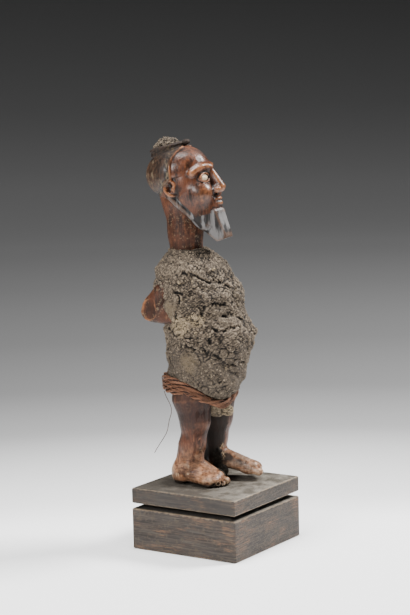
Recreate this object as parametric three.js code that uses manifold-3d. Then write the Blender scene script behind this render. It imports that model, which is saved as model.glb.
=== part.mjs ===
// A standing Bembe figure from the Congo: a carved wooden statuette with a flat crest of hair, a beard and
// inlaid eyes. A rough charge of earth and resin is moulded round its body, a fibre cord is wound round its
// hips, and it stands on a square wooden plinth with a groove all round. Millimetres, +Z up, the figure faces
// -Y. The origin is the centre of the plinth's underside.
import * as THREE from "three";
import { mergeVertices } from "three/addons/utils/BufferGeometryUtils.js";
import Module from "manifold-3d";

const { clamp, degToRad, lerp, smoothstep } = THREE.MathUtils;

// Driving dimensions

const PLINTH_SIDE = 65;
const PLINTH_BLOCK = 22;
const PLINTH_GROOVE = 2.9;
const PLINTH_SLAB = 8.1;
const PLINTH_GROOVE_DEPTH = 8;
const CLEARANCE = 0.3; // between pieces that touch

const FIGURE_TURN = degToRad(6); // to its own left
const FIGURE_PLACE = [1.5, 9]; // of the point between its ankles, on the plinth

const HEAD_CENTRE = [0, 5, 160]; // above the soles
const HEAD_TILT = degToRad(15); // chin up
const HEAD_TURN = degToRad(6); // to its own left

// Each leg by the middle and radius of its bones, from the hip by the knee and the shin to the ankle.
const LEGS = [
  {
    side: -1,
    bones: [[-10, 0, 46, 11], [-10, -2.5, 34.5, 8.7], [-9.6, 0.8, 22, 6.2], [-9.7, 1.8, 12, 6.1]],
    heel: [-9.3, 7.2],
    toes: [-11.8, -16.6],
    toeRise: 0,
    arch: { middle: 6.5, rise: 1.6 },
  },
  {
    side: 1,
    bones: [[10, -3.6, 44, 10.8], [10, -3.4, 33, 8.6], [10.4, -2.8, 22, 6.2], [10.5, -2.2, 12, 6]],
    heel: [10.5, 1],
    toes: [14.2, -27.4],
    toeRise: 2.2,
    arch: { middle: 10, rise: 4.2 },
  },
];

const CORD_TURNS = 3;
const CORD_DIAMETER = 3.3;
const FIBRE_DIAMETER = 0.35;

// Distance fields: each gives the distance from a point to a form's surface, negative inside the form

function ellipsoid([x, y, z], [cx, cy, cz], [rx, ry, rz]) {
  const near = Math.hypot((x - cx) / rx, (y - cy) / ry, (z - cz) / rz);
  const slope = Math.hypot((x - cx) / rx ** 2, (y - cy) / ry ** 2, (z - cz) / rz ** 2);
  return slope === 0 ? -Math.min(rx, ry, rz) : (near * (near - 1)) / slope;
}

// A ball whose radius changes from ra to rb as it rolls from a to b.
function limb([x, y, z], [ax, ay, az], [bx, by, bz], ra, rb) {
  const [dx, dy, dz] = [bx - ax, by - ay, bz - az];
  const along = ((x - ax) * dx + (y - ay) * dy + (z - az) * dz) / (dx * dx + dy * dy + dz * dz);
  const t = clamp(along, 0, 1);
  return Math.hypot(x - ax - t * dx, y - ay - t * dy, z - az - t * dz) - lerp(ra, rb, t);
}

// A thin ridge along a chain of points.
function ridge(p, points, radius) {
  let nearest = Infinity;
  for (let i = 1; i < points.length; i++)
    nearest = Math.min(nearest, limb(p, points[i - 1], points[i], radius, radius));
  return nearest;
}

// Two forms flowing into each other over a fillet of the given width.
function join(a, b, fillet) {
  const h = Math.max(fillet - Math.abs(a - b), 0) / fillet;
  return Math.min(a, b) - (h * h * fillet) / 4;
}

const carve = (a, b, fillet) => -join(-a, b, fillet);

// A faceted block: what lies under every one of its planes, each given by a normal and its distance.
function facets([x, y, z], planes, fillet) {
  return planes
    .map(([nx, ny, nz, d]) => (x * nx + y * ny + z * nz) / Math.hypot(nx, ny, nz) - d)
    .reduce((a, b) => -join(-a, -b, fillet));
}

// The head, in its own frame: x to the figure's left, y to the back, z to the crown, from the head's centre

const HEAD_FRAME = new THREE.Matrix4()
  .makeTranslation(...HEAD_CENTRE)
  .multiply(new THREE.Matrix4().makeRotationZ(HEAD_TURN))
  .multiply(new THREE.Matrix4().makeRotationX(-HEAD_TILT));

// Both halves of the head are alike, so the fields look at its left side alone.
const EYE = { centre: [6.2, -11.9, 0.3], radii: [3.7, 2, 1.9] };
const CRANIUM = { centre: [0, 3.6, 7.4], radii: [14, 17.6, 13.6] };
const HAIR_LOW = 4;
const HAIR_SLOPE = 0.62; // of the hair's low edge, from the ears down to the nape

function skull(p) {
  const edge = (p[2] - HAIR_LOW + HAIR_SLOPE * Math.max(p[1] - 3, 0)) / Math.hypot(1, HAIR_SLOPE);
  const cap = carve(ellipsoid(p, CRANIUM.centre, CRANIUM.radii), edge, 2);
  let d = ellipsoid(p, [0, 1.4, 4.5], [13, 15.6, 14]);
  d = join(d, limb(p, [0, -1.5, -5], [0, -6, -17], 12.3, 8.4), 5);
  d = join(d, limb(p, [5, 0.6, -8], [3, -5.6, -22.5], 6.8, 4.8), 3);
  d = join(d, ellipsoid(p, [12.2, 5, -0.4], [2.2, 3.4, 4.6]), 1.5);
  d = join(d, limb(p, [0, 6.6, 2], [0, 6.4, -7], 10.4, 9.6), 3);
  return join(d, cap, 0.6);
}

function face(p) {
  let d = join(skull(p), ellipsoid(p, [7, -8.5, -7], [5.6, 6.4, 6]), 4);
  d = join(d, ellipsoid(p, [0, -8, -14.5], [6.6, 6.8, 6]), 3);
  d = join(d, ridge(p, [[0, -14.6, 5.4], [6.5, -12.8, 6.2], [11, -8.4, 4.2]], 1.5), 2.5);
  d = carve(d, ellipsoid(p, [6.4, -17, 0.6], [5.1, 4.8, 4]), 1.6);
  d = join(d, limb(p, [0, -14.4, 4.4], [0, -18, -6.4], 1.6, 2.4), 1.6);
  return join(d, ellipsoid(p, [2.6, -16, -7.4], [2.2, 2.6, 1.8]), 1.2);
}

// Each plane of the beard by its normal and its distance from the head's centre.
const BEARD = [
  [0, -1, 0, 16.2], // front
  [0.41, -0.91, 0.04, 14.3], // slanting sides of the front
  [1, 0.1, -0.15, 7.8],
  [0, -0.1, -1, 34.6], // end
  [0, 0.83, -0.56, 11.8], // underside
  [0, 0, 1, -17.6], // top, inside the chin
];

const head = ([x, y, z]) => {
  const p = [Math.abs(x), y, z];
  return join(face(p), facets(p, BEARD, 0.8), 1.2);
};

// Raised lines of the carving, each a rounded strand: its points on the left side, and its radius.
const HAIRLINE = {
  points: [
    [2.6, -3.6, 18.8],
    [5.4, -4.6, 18.5],
    [8.4, -2.4, 17.5],
    [12.1, 0.8, 13.9],
    [13.8, 2.5, 8.9],
    [13.6, 3.3, 3.6],
  ],
  radius: 0.9,
};
const BEARD_EDGE = {
  points: [[11.6, 6.6, -4.4], [9.8, 2.2, -12], [6.9, -2.2, -18.8], [3.4, -6.4, -25.4]],
  radius: 2,
};
const EAR = {
  points: [
    [12.6, 2.4, 1.8],
    [13.7, 4, 3.8],
    [14, 6.8, 2.6],
    [13.9, 7.6, -0.8],
    [13.4, 6, -3.8],
    [12.2, 3.4, -4.8],
  ],
  radius: 1.1,
};
const LIPS = [
  { corner: [4.8, -11.8, -12.8], middle: [0, -15.2, -11.9], radius: 1.25 },
  { corner: [4.6, -11.8, -14], middle: [0, -15, -14.5], radius: 1.4 },
];

// The body, in the figure's frame: x to its left, y to its back, z above the soles

// The cord round the hips, by the angle round them: 0 at the front, a quarter turn at the figure's left. Its
// turns are stacked at the back and both sides. They dip to the front and right, where they are bunched.
const HIPS = { centre: [0, 0.6], radius: 18.4 };
const CORD_STEP = CORD_DIAMETER * 0.95; // from turn to turn in the stack
const CORD_BUNCH = 1.1; // from the bunch's middle to each turn in it
const CORD_HIGH = 54;
const DIP = { depth: 10, angle: degToRad(-22), width: degToRad(50) };

// 1 at the middle of the dip and nearly 0 at the back.
function cordDip(angle) {
  const away = THREE.MathUtils.euclideanModulo(angle - DIP.angle + Math.PI, 2 * Math.PI) - Math.PI;
  return Math.exp(-((away / DIP.width) ** 2));
}

const cordHeight = (angle) => CORD_HIGH - DIP.depth * cordDip(angle);

function cordTop(angle) {
  const dip = cordDip(angle);
  const stack = (CORD_STEP * (CORD_TURNS - 1)) / 2;
  return cordHeight(angle) + lerp(stack, CORD_BUNCH, dip) + CORD_DIAMETER / 2;
}

function neck(p) {
  const middle = [0, 7, 134];
  return join(limb(p, [0, 6, 104], middle, 8.6, 8.8), limb(p, middle, [0, 9, 152], 8.8, 9.6), 3);
}

function trunk(p) {
  let d = ellipsoid(p, [0, 3, 84], [14, 12, 36]);
  d = join(d, limb(p, [-11, 6, 110], [11, 6, 110], 7.5, 7.5), 5);
  d = join(d, ellipsoid(p, [0, 0, 53], [17, 16.4, 13]), 6);
  const round = Math.hypot(p[0] - HIPS.centre[0], p[1] - HIPS.centre[1]) - HIPS.radius + 1.4;
  return join(d, carve(round, 6 - Math.abs(p[2] - 54), 4), 2); // a drum inside the cord
}

// Planes through the elbow that leave it an angular wedge: behind, below, outside and inside it.
const ELBOW_CORNER = [15.5, 25.2, 90.2];
const ELBOW_CUTS = [
  [0, 0.94, 0.33, 1],
  [0, 0.28, -0.96, 0.5],
  [0.97, 0.24, 0, 3.2],
  [-0.92, 0.38, 0, 3.6],
];

function arm([x, y, z], side) {
  const p = [side * x, y, z];
  const elbow = [15.2, 18.8, 94];
  const form = join(limb(p, [13, 8, 110], elbow, 5.6, 7), limb(p, elbow, [15, 0, 90.4], 7, 4.6), 1);
  const fromCorner = p.map((v, k) => v - ELBOW_CORNER[k]);
  return carve(form, -facets(fromCorner, ELBOW_CUTS, 0.4), 0.4);
}

// The limbs from each bone to the next.
function leg(p, { bones }) {
  const limbs = bones.slice(1).map(([x, y, z, r], i) => {
    const [fromX, fromY, fromZ, fromR] = bones[i];
    return limb(p, [fromX, fromY, fromZ], [x, y, z], fromR, r);
  });
  return limbs.reduce((a, b) => join(a, b, 3));
}

// A foot, in its own frame: x to the figure's right, y from heel to toes, z above the sole. Its toes run from
// the big one outwards.
const TOES = [
  { outward: -4.3, reach: 0.7, half: 2.2 },
  { outward: -1.1, reach: 0.6, half: 1.55 },
  { outward: 1.4, reach: -0.6, half: 1.45 },
  { outward: 3.7, reach: -2.2, half: 1.4 },
  { outward: 5.7, reach: -4.2, half: 1.35 },
];

function footFrame({ heel, toes }) {
  const forward = new THREE.Vector3(toes[0] - heel[0], toes[1] - heel[1], 0).normalize();
  const right = new THREE.Vector3(forward.y, -forward.x, 0);
  return new THREE.Matrix4().makeBasis(right, forward, new THREE.Vector3(0, 0, 1)).setPosition(...heel, 0);
}

const footLength = ({ heel, toes }) => Math.hypot(toes[0] - heel[0], toes[1] - heel[1]);
const footRise = (foot, along) => foot.toeRise * smoothstep(along, 0, footLength(foot));

// The heel, the high instep towards the big toe, the low outer side, and the ball, over a hollow arch.
function footForm([across, along, z], foot) {
  const length = footLength(foot);
  const q = [-foot.side * across, along, z - footRise(foot, along)];
  let d = ellipsoid(q, [0, 0, 5.4], [5.6, 6.4, 7.6]);
  d = join(d, limb(q, [-0.4, 6, 10.4], [-2.6, length - 3.5, 4.4], 5.6, 3.4), 3);
  d = join(d, limb(q, [1.2, 4, 5.6], [3.2, length - 7, 3.3], 5, 3.1), 3);
  d = join(d, ellipsoid(q, [0.6, length - 5, 3.2], [6.6, 5.6, 3.6]), 2.5);
  const { middle, rise } = foot.arch;
  d = carve(d, ellipsoid(q, [0, middle, -5], [14, 5.5 + rise, 5 + rise]), 1.2);
  return Math.max(d, -q[2]);
}

// The charge, by its oval sections from the bottom up: height, middle (y) and half widths across and along.
const CHARGE_SECTIONS = [
  [43, -1, 16.4, 17.6],
  [47, -1.6, 18.6, 20],
  [52, -2, 20, 21.6],
  [58, -3, 20.6, 22.4],
  [65, -3.9, 20.6, 22.4],
  [72, -5.6, 21.4, 23.4],
  [81, -6.4, 22.6, 24.9],
  [87, -4.6, 22.4, 23.8],
  [94, -1, 22.6, 23.6],
  [103, -0.5, 22.8, 24],
  [111, 2.4, 21.4, 20.8],
  [117, 2.8, 19.4, 19],
  [122, 3.8, 14.6, 14.4],
  [126.5, 6, 9.8, 9.6],
];
const CHARGE_TOP = 125.8;

// Lumps of the rough surface, in mm.
function lumps(x, y, z) {
  const broad = Math.sin(0.42 * x + 0.31 * z + 1) * Math.sin(0.37 * y - 0.29 * z + 2);
  const small = Math.sin(0.5 * x + 0.71 * z) * Math.sin(0.66 * x - 0.58 * y + 1);
  return 0.6 * broad + 0.35 * small;
}

function chargeForm([x, y, z]) {
  const last = CHARGE_SECTIONS.length - 2;
  const above = CHARGE_SECTIONS.findIndex(([height]) => height > z);
  const i = clamp(above < 0 ? last : above - 1, 0, last);
  const [low, high] = [CHARGE_SECTIONS[i], CHARGE_SECTIONS[i + 1]];
  const t = clamp((z - low[0]) / (high[0] - low[0]), 0, 1);
  const [middle, across, along] = [1, 2, 3].map((k) => lerp(low[k], high[k], t));
  const out = (Math.hypot(x / across, (y - middle) / along) - 1) * across - lumps(x, y, z);
  const bottom = cordTop(Math.atan2(x - HIPS.centre[0], HIPS.centre[1] - y)) - 1;
  return carve(out, -Math.max(z - CHARGE_TOP, bottom - z), 1.2);
}

// Wrapping a mesh round a field

// How far out the field's outermost surface lies along a ray: steps in from outside, then halves the last step.
function surfaceReach(field, origin, direction, reach, level) {
  const at = (s) => field([0, 1, 2].map((i) => origin[i] + direction[i] * s)) - level;
  const step = reach / 90;
  let outside = reach;
  while (outside > step && at(outside - step) > 0) outside -= step;
  let inside = Math.max(outside - step, 0);
  for (let i = 0; i < 16; i++) {
    const middle = (inside + outside) / 2;
    if (at(middle) > 0) outside = middle;
    else inside = middle;
  }
  return outside;
}

// A closed skin of rings round the line from one point to another. The rays fan out at both ends, so the first
// and last ring are single points. Columns crowd towards the front where more of them are wanted there.
function wrap(field, span) {
  const { from, to, rings, columns, level = 0 } = span;
  const { reach = 60, crowd = 0, up = [0, 0, 1], front = [0, -1, 0] } = span;
  const axis = new THREE.Vector3(...up);
  const ahead = new THREE.Vector3(...front);
  const side = new THREE.Vector3().crossVectors(axis, ahead);
  const positions = [];
  for (let i = 0; i <= rings; i++) {
    const t = i / rings;
    const tilt = (t - 0.5) * Math.PI;
    const origin = from.map((v, k) => lerp(v, to[k], t));
    const count = i === 0 || i === rings ? 1 : columns;
    for (let j = 0; j < count; j++) {
      const turn = (j / columns) * 2 * Math.PI;
      const angle = turn - crowd * Math.sin(turn);
      const ray = new THREE.Vector3()
        .addScaledVector(ahead, Math.cos(angle) * Math.cos(tilt))
        .addScaledVector(side, Math.sin(angle) * Math.cos(tilt))
        .addScaledVector(axis, Math.sin(tilt))
        .toArray();
      const s = surfaceReach(field, origin, ray, reach, level);
      positions.push(...origin.map((v, k) => v + ray[k] * s));
    }
  }
  const vertex = (i, j) => {
    if (i === 0) return 0;
    return i === rings ? positions.length / 3 - 1 : 1 + (i - 1) * columns + (j % columns);
  };
  const faces = [];
  for (let i = 0; i < rings; i++)
    for (let j = 0; j < columns; j++) {
      if (i < rings - 1) faces.push(vertex(i, j), vertex(i + 1, j + 1), vertex(i + 1, j));
      if (i > 0) faces.push(vertex(i, j), vertex(i, j + 1), vertex(i + 1, j + 1));
    }
  const geometry = new THREE.BufferGeometry();
  geometry.setAttribute("position", new THREE.Float32BufferAttribute(positions, 3));
  geometry.setIndex(faces);
  return geometry;
}

// Joining and cutting

const wasm = await Module();
wasm.setup();

function solid(geometry) {
  const bare = geometry.clone();
  bare.deleteAttribute("normal");
  bare.deleteAttribute("uv");
  const merged = mergeVertices(bare, 1e-4);
  const mesh = new wasm.Mesh({
    numProp: 3,
    vertProperties: merged.attributes.position.array,
    triVerts: new Uint32Array(merged.index.array),
  });
  return new wasm.Manifold(mesh);
}

const joined = (solids) => solids.reduce((a, b) => a.add(b));

// The largest body of a cut solid, without the crumbs that a cut can leave.
const largest = (cut) => cut.decompose().reduce((a, b) => (a.volume() > b.volume() ? a : b));

function geometryOf(body) {
  const { vertProperties, triVerts } = body.getMesh();
  const geometry = new THREE.BufferGeometry();
  geometry.setAttribute("position", new THREE.Float32BufferAttribute(vertProperties, 3));
  geometry.setIndex([...triVerts]);
  geometry.computeVertexNormals();
  return geometry;
}

// The wooden figure, grown by a level where another piece has to clear it

function headSolid(level) {
  const skin = wrap(head, { from: [0, 0, -6], to: [0, 1, 2], rings: 26, columns: 32, crowd: 0.5, level });
  return solid(skin.applyMatrix4(HEAD_FRAME));
}

// A rounded strand along a smooth curve through some points.
function strand(points, radius, steps, sides = 6) {
  const curve = new THREE.CatmullRomCurve3(points.map((point) => new THREE.Vector3(...point)));
  const outline = new THREE.Shape().absarc(0, 0, radius, 0, 2 * Math.PI);
  return new THREE.ExtrudeGeometry(outline, { steps, curveSegments: sides / 2, extrudePath: curve });
}

// The raised lines on both sides of the head, and the lips.
function carvedLines() {
  const lines = [];
  for (const side of [-1, 1])
    for (const { points, radius } of [HAIRLINE, BEARD_EDGE, EAR])
      lines.push(strand(points.map(([x, y, z]) => [side * x, y, z]), radius, 7));
  for (const { corner, middle, radius } of LIPS) {
    const right = [-corner[0], corner[1], corner[2]];
    const halfway = [0, 1, 2].map((i) => lerp(corner[i], middle[i], i === 0 ? 0.5 : 0.75));
    lines.push(strand([right, [-halfway[0], halfway[1], halfway[2]], middle, halfway, corner], radius, 8));
  }
  return joined(lines.map((line) => solid(line.applyMatrix4(HEAD_FRAME))));
}

// The flat crest of hair on the crown, with the crust left on it and the knob at its front.
function crestSolid() {
  const edge = [[0, 17], [7.4, 17.6], [7.9, 19.4], [7.6, 22], [6.6, 22.6], [0, 22.6]];
  const plate = new THREE.LatheGeometry(edge.map(([x, y]) => new THREE.Vector2(x, y)), 18);
  plate.rotateX(Math.PI / 2).scale(1, 10 / 7.6, 1).translate(0, 5.2, 0);
  const crust = new THREE.SphereGeometry(1, 10, 8).scale(4.8, 5.4, 3.6).translate(0, 5.8, 22.2);
  const knob = new THREE.SphereGeometry(1, 8, 6).scale(2.6, 2.4, 1.5).translate(0, -5.2, 21.4);
  return joined([plate, crust, knob].map((piece) => solid(piece.applyMatrix4(HEAD_FRAME))));
}

function eyeSolid(side, level) {
  const [x, y, z] = EYE.centre;
  const eye = (p) => ellipsoid(p, [side * x, y, z], EYE.radii);
  const centre = [side * x, y, z];
  const skin = wrap(eye, { from: centre, to: centre, rings: 6, columns: 10, reach: 8, level });
  return solid(skin.applyMatrix4(HEAD_FRAME));
}

function footSolids(foot, level) {
  const form = (p) => footForm(p, foot);
  const frame = footFrame(foot);
  const tips = footLength(foot);
  const axes = { up: [0, 1, 0], front: [0, 0, 1] };
  const sole = wrap(form, { from: [0, 0, 5], to: [0, tips, 3], rings: 10, columns: 12, level, ...axes });
  const toes = TOES.map(({ outward, reach, half }) =>
    new THREE.SphereGeometry(1, 6, 5)
      .scale(half + level, 4, half + level)
      .translate(-foot.side * outward, tips + reach - 2.4, half + 0.2 + foot.toeRise),
  );
  return [sole, ...toes].map((piece) => solid(piece.applyMatrix4(frame)));
}

function figureSolid(level) {
  const parts = [
    headSolid(level),
    crestSolid(),
    carvedLines(),
    solid(wrap(neck, { from: [0, 6, 104], to: [0, 9.4, 151], rings: 6, columns: 14, level })),
    solid(wrap(trunk, { from: [0, 3, 60], to: [0, 5, 100], rings: 8, columns: 12, level })),
  ];
  for (const side of [-1, 1]) {
    const [low, high] = [[side * 15, 14.4, 98], [side * 14.6, 11, 105]];
    parts.push(solid(wrap((p) => arm(p, side), { from: low, to: high, rings: 9, columns: 12, level })));
  }
  for (const one of LEGS) {
    const [low, high] = [one.bones.at(-1), one.bones[0]].map((bone) => bone.slice(0, 3));
    parts.push(solid(wrap((p) => leg(p, one), { from: low, to: high, rings: 10, columns: 12, level })));
    parts.push(...footSolids(one, level));
  }
  return joined(parts);
}

// One turn of the cord round the hips.
function turnOfCord(k) {
  const stack = (k - (CORD_TURNS - 1) / 2) * CORD_STEP;
  const place = Math.PI * 2 * (k / CORD_TURNS) + 0.6; // in the bunch
  const steps = 18;
  const points = [];
  for (let i = 0; i < steps; i++) {
    const angle = (i / steps) * 2 * Math.PI;
    const dip = cordDip(angle);
    const radius = HIPS.radius + dip * CORD_BUNCH * Math.cos(place);
    points.push(
      new THREE.Vector3(
        HIPS.centre[0] + radius * Math.sin(angle),
        HIPS.centre[1] - radius * Math.cos(angle),
        cordHeight(angle) + (1 - dip) * stack + dip * CORD_BUNCH * Math.sin(place),
      ),
    );
  }
  return new THREE.CatmullRomCurve3(points, true);
}

function cordSolid(level) {
  const radius = CORD_DIAMETER / 2 + level;
  const turns = [...Array(CORD_TURNS).keys()].map(turnOfCord);
  return joined(turns.map((turn) => solid(new THREE.TubeGeometry(turn, 18, radius, 6, true))));
}

// The loose end of one fibre, hanging behind the right leg

const FIBRE_POINTS = [
  [-8.6, 17.8, 48.8],
  [-8.5, 17.5, 47.2],
  [-8.1, 16.9, 45.4],
  [-7.7, 16.1, 43.6],
  [-7.3, 15.3, 41.6],
  [-7, 14.7, 39.4],
  [-7, 14.7, 37],
  [-7.3, 15.2, 34.8],
  [-7.6, 15.9, 32.6],
  [-7.8, 16.3, 30.2],
  [-8, 16.7, 27.8],
  [-8.4, 17.5, 25.4],
  [-9, 18.7, 23.2],
  [-9.7, 20, 21],
  [-10.4, 21.3, 18.8],
  [-11, 22.4, 16.8],
  [-11.5, 23.3, 15],
];

// The plinth: a block and a slab of the same square, with a groove between them

function plinthSolid() {
  const core = PLINTH_SIDE - 2 * PLINTH_GROOVE_DEPTH;
  const height = PLINTH_BLOCK + PLINTH_GROOVE + PLINTH_SLAB;
  const layers = [
    [PLINTH_SIDE, 0, PLINTH_BLOCK],
    [core, PLINTH_BLOCK / 2, height - PLINTH_SLAB / 2],
    [PLINTH_SIDE, height - PLINTH_SLAB, height],
  ];
  return joined(
    layers.map(([side, low, high]) =>
      solid(new THREE.BoxGeometry(side, side, high - low).translate(0, 0, (low + high) / 2)),
    ),
  );
}

// The model

const WOOD = new THREE.MeshStandardMaterial({ color: 0x5a3425, roughness: 0.42 });
const EARTH = new THREE.MeshStandardMaterial({ color: 0x6d6354, roughness: 0.95 });
const FIBRE = new THREE.MeshStandardMaterial({ color: 0x8a5236, roughness: 0.8 });
const SHELL = new THREE.MeshStandardMaterial({ color: 0xcbb08a, roughness: 0.5 });
const STAINED_WOOD = new THREE.MeshStandardMaterial({ color: 0x4a4139, roughness: 0.7 });

function named(name, body, material) {
  const mesh = new THREE.Mesh(geometryOf(body), material);
  mesh.name = name;
  return mesh;
}

const statuette = new THREE.Group();
statuette.position.set(...FIGURE_PLACE, PLINTH_BLOCK + PLINTH_GROOVE + PLINTH_SLAB + CLEARANCE);
statuette.rotation.z = FIGURE_TURN;

const sockets = [-1, 1].map((side) => eyeSolid(side, CLEARANCE));
const carving = figureSolid(0).subtract(joined(sockets)).subtract(cordSolid(CLEARANCE));
statuette.add(
  named("figure", largest(carving), WOOD),
  named("eye_inlay_right", eyeSolid(-1, 0), SHELL),
  named("eye_inlay_left", eyeSolid(1, 0), SHELL),
);

// Two lumps of the charge hang down between the thighs.
const lump = new THREE.SphereGeometry(1, 12, 8).scale(8, 7.2, 7.2).translate(0.5, -9.5, 42);
const chunk = new THREE.SphereGeometry(1, 8, 6).scale(3.6, 3.4, 3.4).translate(0, -15.8, 38.8);
const mass = solid(wrap(chargeForm, { from: [0, -1, 64], to: [0, 3, 110], rings: 22, columns: 24 }));
const whole = joined([mass, solid(lump), solid(chunk)]);
const moulded = whole.subtract(cordSolid(CLEARANCE)).subtract(figureSolid(CLEARANCE));
const fibre = strand(FIBRE_POINTS, FIBRE_DIAMETER / 2, 34, 8);
statuette.add(
  named("charge", largest(moulded), EARTH),
  named("hip_cord", cordSolid(0), FIBRE),
  named("loose_fibre", solid(fibre), FIBRE),
);

const model = new THREE.Group();
model.add(named("plinth", plinthSolid(), STAINED_WOOD), statuette);

export default model;
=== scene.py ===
# %% [markdown]
# # A carved figure with its charge, its cord and its plinth
# The real object is one piece of dark wood, polished by hands, that stands barefoot on a small stained
# plinth. Its body is hidden in a crumbly mass of earth and resin, the charge, and a cord of plant fibre holds
# that mass at the hips. The solids of the pack give every piece its place and size. This script makes the
# surfaces again, finely, and gives them their finish. We load the pack first.

# %% Load the frame
import bpy
import numpy as np
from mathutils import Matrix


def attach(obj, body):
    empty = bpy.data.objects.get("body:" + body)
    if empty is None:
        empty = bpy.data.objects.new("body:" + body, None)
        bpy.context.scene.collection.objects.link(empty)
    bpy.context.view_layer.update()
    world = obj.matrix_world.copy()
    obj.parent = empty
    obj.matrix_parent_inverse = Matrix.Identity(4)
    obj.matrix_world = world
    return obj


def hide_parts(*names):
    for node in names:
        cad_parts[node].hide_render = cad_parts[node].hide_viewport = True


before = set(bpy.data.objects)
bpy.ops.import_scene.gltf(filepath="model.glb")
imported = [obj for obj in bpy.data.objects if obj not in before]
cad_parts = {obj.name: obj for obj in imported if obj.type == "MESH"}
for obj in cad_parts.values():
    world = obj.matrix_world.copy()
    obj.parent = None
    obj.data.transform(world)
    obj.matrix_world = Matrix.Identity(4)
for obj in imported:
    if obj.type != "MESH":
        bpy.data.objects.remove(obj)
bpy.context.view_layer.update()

MM = 0.001

# %% [markdown]
# ## The camera
# A camera looks along its own -Z, with +X to the right of the picture and +Y up. So its three axes are the
# columns of its matrix. We build them from the direction in which the picture was taken: turned to the
# side, a little downwards, and rolled by about a degree. The long lens is what makes the plinth's edges
# nearly parallel.

# %% Camera
CAMERA_TURN = np.radians(-56.38)
CAMERA_PITCH = np.radians(8.1)
CAMERA_ROLL = np.radians(-1.43)
CAMERA_PLACE = np.array([-832.7, -549.5, 269.8])
CAMERA_LENS = 111.2


def camera_axes(turn, pitch, roll):
    """The camera's right, up and back axes after a turn about Z, a tilt down and a roll about the view."""
    back = np.array([np.sin(turn) * np.cos(pitch), -np.cos(turn) * np.cos(pitch), np.sin(pitch)])
    right = np.array([np.cos(turn), np.sin(turn), 0.0])
    up = np.cross(back, right)
    return right * np.cos(roll) + up * np.sin(roll), up * np.cos(roll) - right * np.sin(roll), back


camera = bpy.data.objects.new("camera", bpy.data.cameras.new("camera"))
bpy.context.scene.collection.objects.link(camera)
matrix = np.eye(4)
matrix[:3, :3] = np.stack(camera_axes(CAMERA_TURN, CAMERA_PITCH, CAMERA_ROLL), axis=1)
matrix[:3, 3] = CAMERA_PLACE * MM
camera.matrix_world = matrix.T.tolist()
camera.data.lens = CAMERA_LENS
bpy.context.scene.camera = camera

# %% [markdown]
# ## Standing on the plinth
# The figure is modelled in millimetres in a frame of its own: x to its left, y to its back, z up from its
# soles. One function turns such points onto the plinth and into metres, and every piece of the figure uses
# it.

# %% The figure's own frame
PLINTH_SIDE = 65.0
PLINTH_BLOCK = 22.0
PLINTH_GROOVE = 2.9
PLINTH_SLAB = 8.1
PLINTH_GROOVE_DEPTH = 8.0
PLINTH_HEIGHT = PLINTH_BLOCK + PLINTH_GROOVE + PLINTH_SLAB
CLEARANCE = 0.3
FIGURE_TURN = np.radians(6)
FIGURE_PLACE = np.array([1.5, 9.0, PLINTH_HEIGHT + CLEARANCE])


def about_z(angle):
    """The matrix of a turn about Z."""
    return np.array([[np.cos(angle), -np.sin(angle), 0], [np.sin(angle), np.cos(angle), 0], [0, 0, 1]])


def about_x(angle):
    """The matrix of a turn about X."""
    return np.array([[1, 0, 0], [0, np.cos(angle), -np.sin(angle)], [0, np.sin(angle), np.cos(angle)]])


def standing(points):
    """Points of the figure's frame, in mm, as points of the whole object, in metres."""
    return (points @ about_z(FIGURE_TURN).T + FIGURE_PLACE) * MM

# %% [markdown]
# ## The loose fibre
# One end of a fibre hangs down behind the right leg. It is a free cord, so its route is given point by point,
# the same as in the solids, and it is a curve with a round section. Its ends are closed with flat caps.

# %% Loose fibre
FIBRE_DIAMETER = 0.35
FIBRE_POINTS = np.array([
    [-8.6, 17.8, 48.8],
    [-8.5, 17.5, 47.2],
    [-8.1, 16.9, 45.4],
    [-7.7, 16.1, 43.6],
    [-7.3, 15.3, 41.6],
    [-7.0, 14.7, 39.4],
    [-7.0, 14.7, 37.0],
    [-7.3, 15.2, 34.8],
    [-7.6, 15.9, 32.6],
    [-7.8, 16.3, 30.2],
    [-8.0, 16.7, 27.8],
    [-8.4, 17.5, 25.4],
    [-9.0, 18.7, 23.2],
    [-9.7, 20.0, 21.0],
    [-10.4, 21.3, 18.8],
    [-11.0, 22.4, 16.8],
    [-11.5, 23.3, 15.0],
])
fibre_path = standing(FIBRE_POINTS)
fibre_curve = bpy.data.curves.new("loose_fibre", "CURVE")
fibre_curve.dimensions = "3D"
fibre_curve.bevel_depth = 1
fibre_curve.bevel_resolution = 2
fibre_curve.use_fill_caps = True
spline = fibre_curve.splines.new("POLY")
spline.points.add(len(fibre_path) - 1)
spline.points.foreach_set("co", np.column_stack([fibre_path, np.ones(len(fibre_path))]).ravel())
spline.points.foreach_set("radius", np.full(len(fibre_path), FIBRE_DIAMETER / 2 * MM))
loose_fibre = bpy.data.objects.new("fibre_end", fibre_curve)
bpy.context.scene.collection.objects.link(loose_fibre)
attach(loose_fibre, "root")
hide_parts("loose_fibre")

# %% [markdown]
# ## Surfaces from distance fields
# A carver takes wood away from one block, so every form flows into the next. Meshes of separate shapes
# would show hard seams. Instead each form is a distance field: a formula that gives, at any point, how far
# the form's surface is, and is negative inside. Two fields join over a fillet by a soft minimum, and one is
# carved out of the other by the same rule turned round.

# %% Distance fields
def ellipsoid(p, centre, radii):
    """The scaled distance from the centre, less one, divided by how fast it grows there."""
    q = (p - np.array(centre)) / np.array(radii)
    near = np.linalg.norm(q, axis=-1)
    slope = np.linalg.norm(q / np.array(radii), axis=-1)
    return near * (near - 1) / np.maximum(slope, 1e-6)


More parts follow.
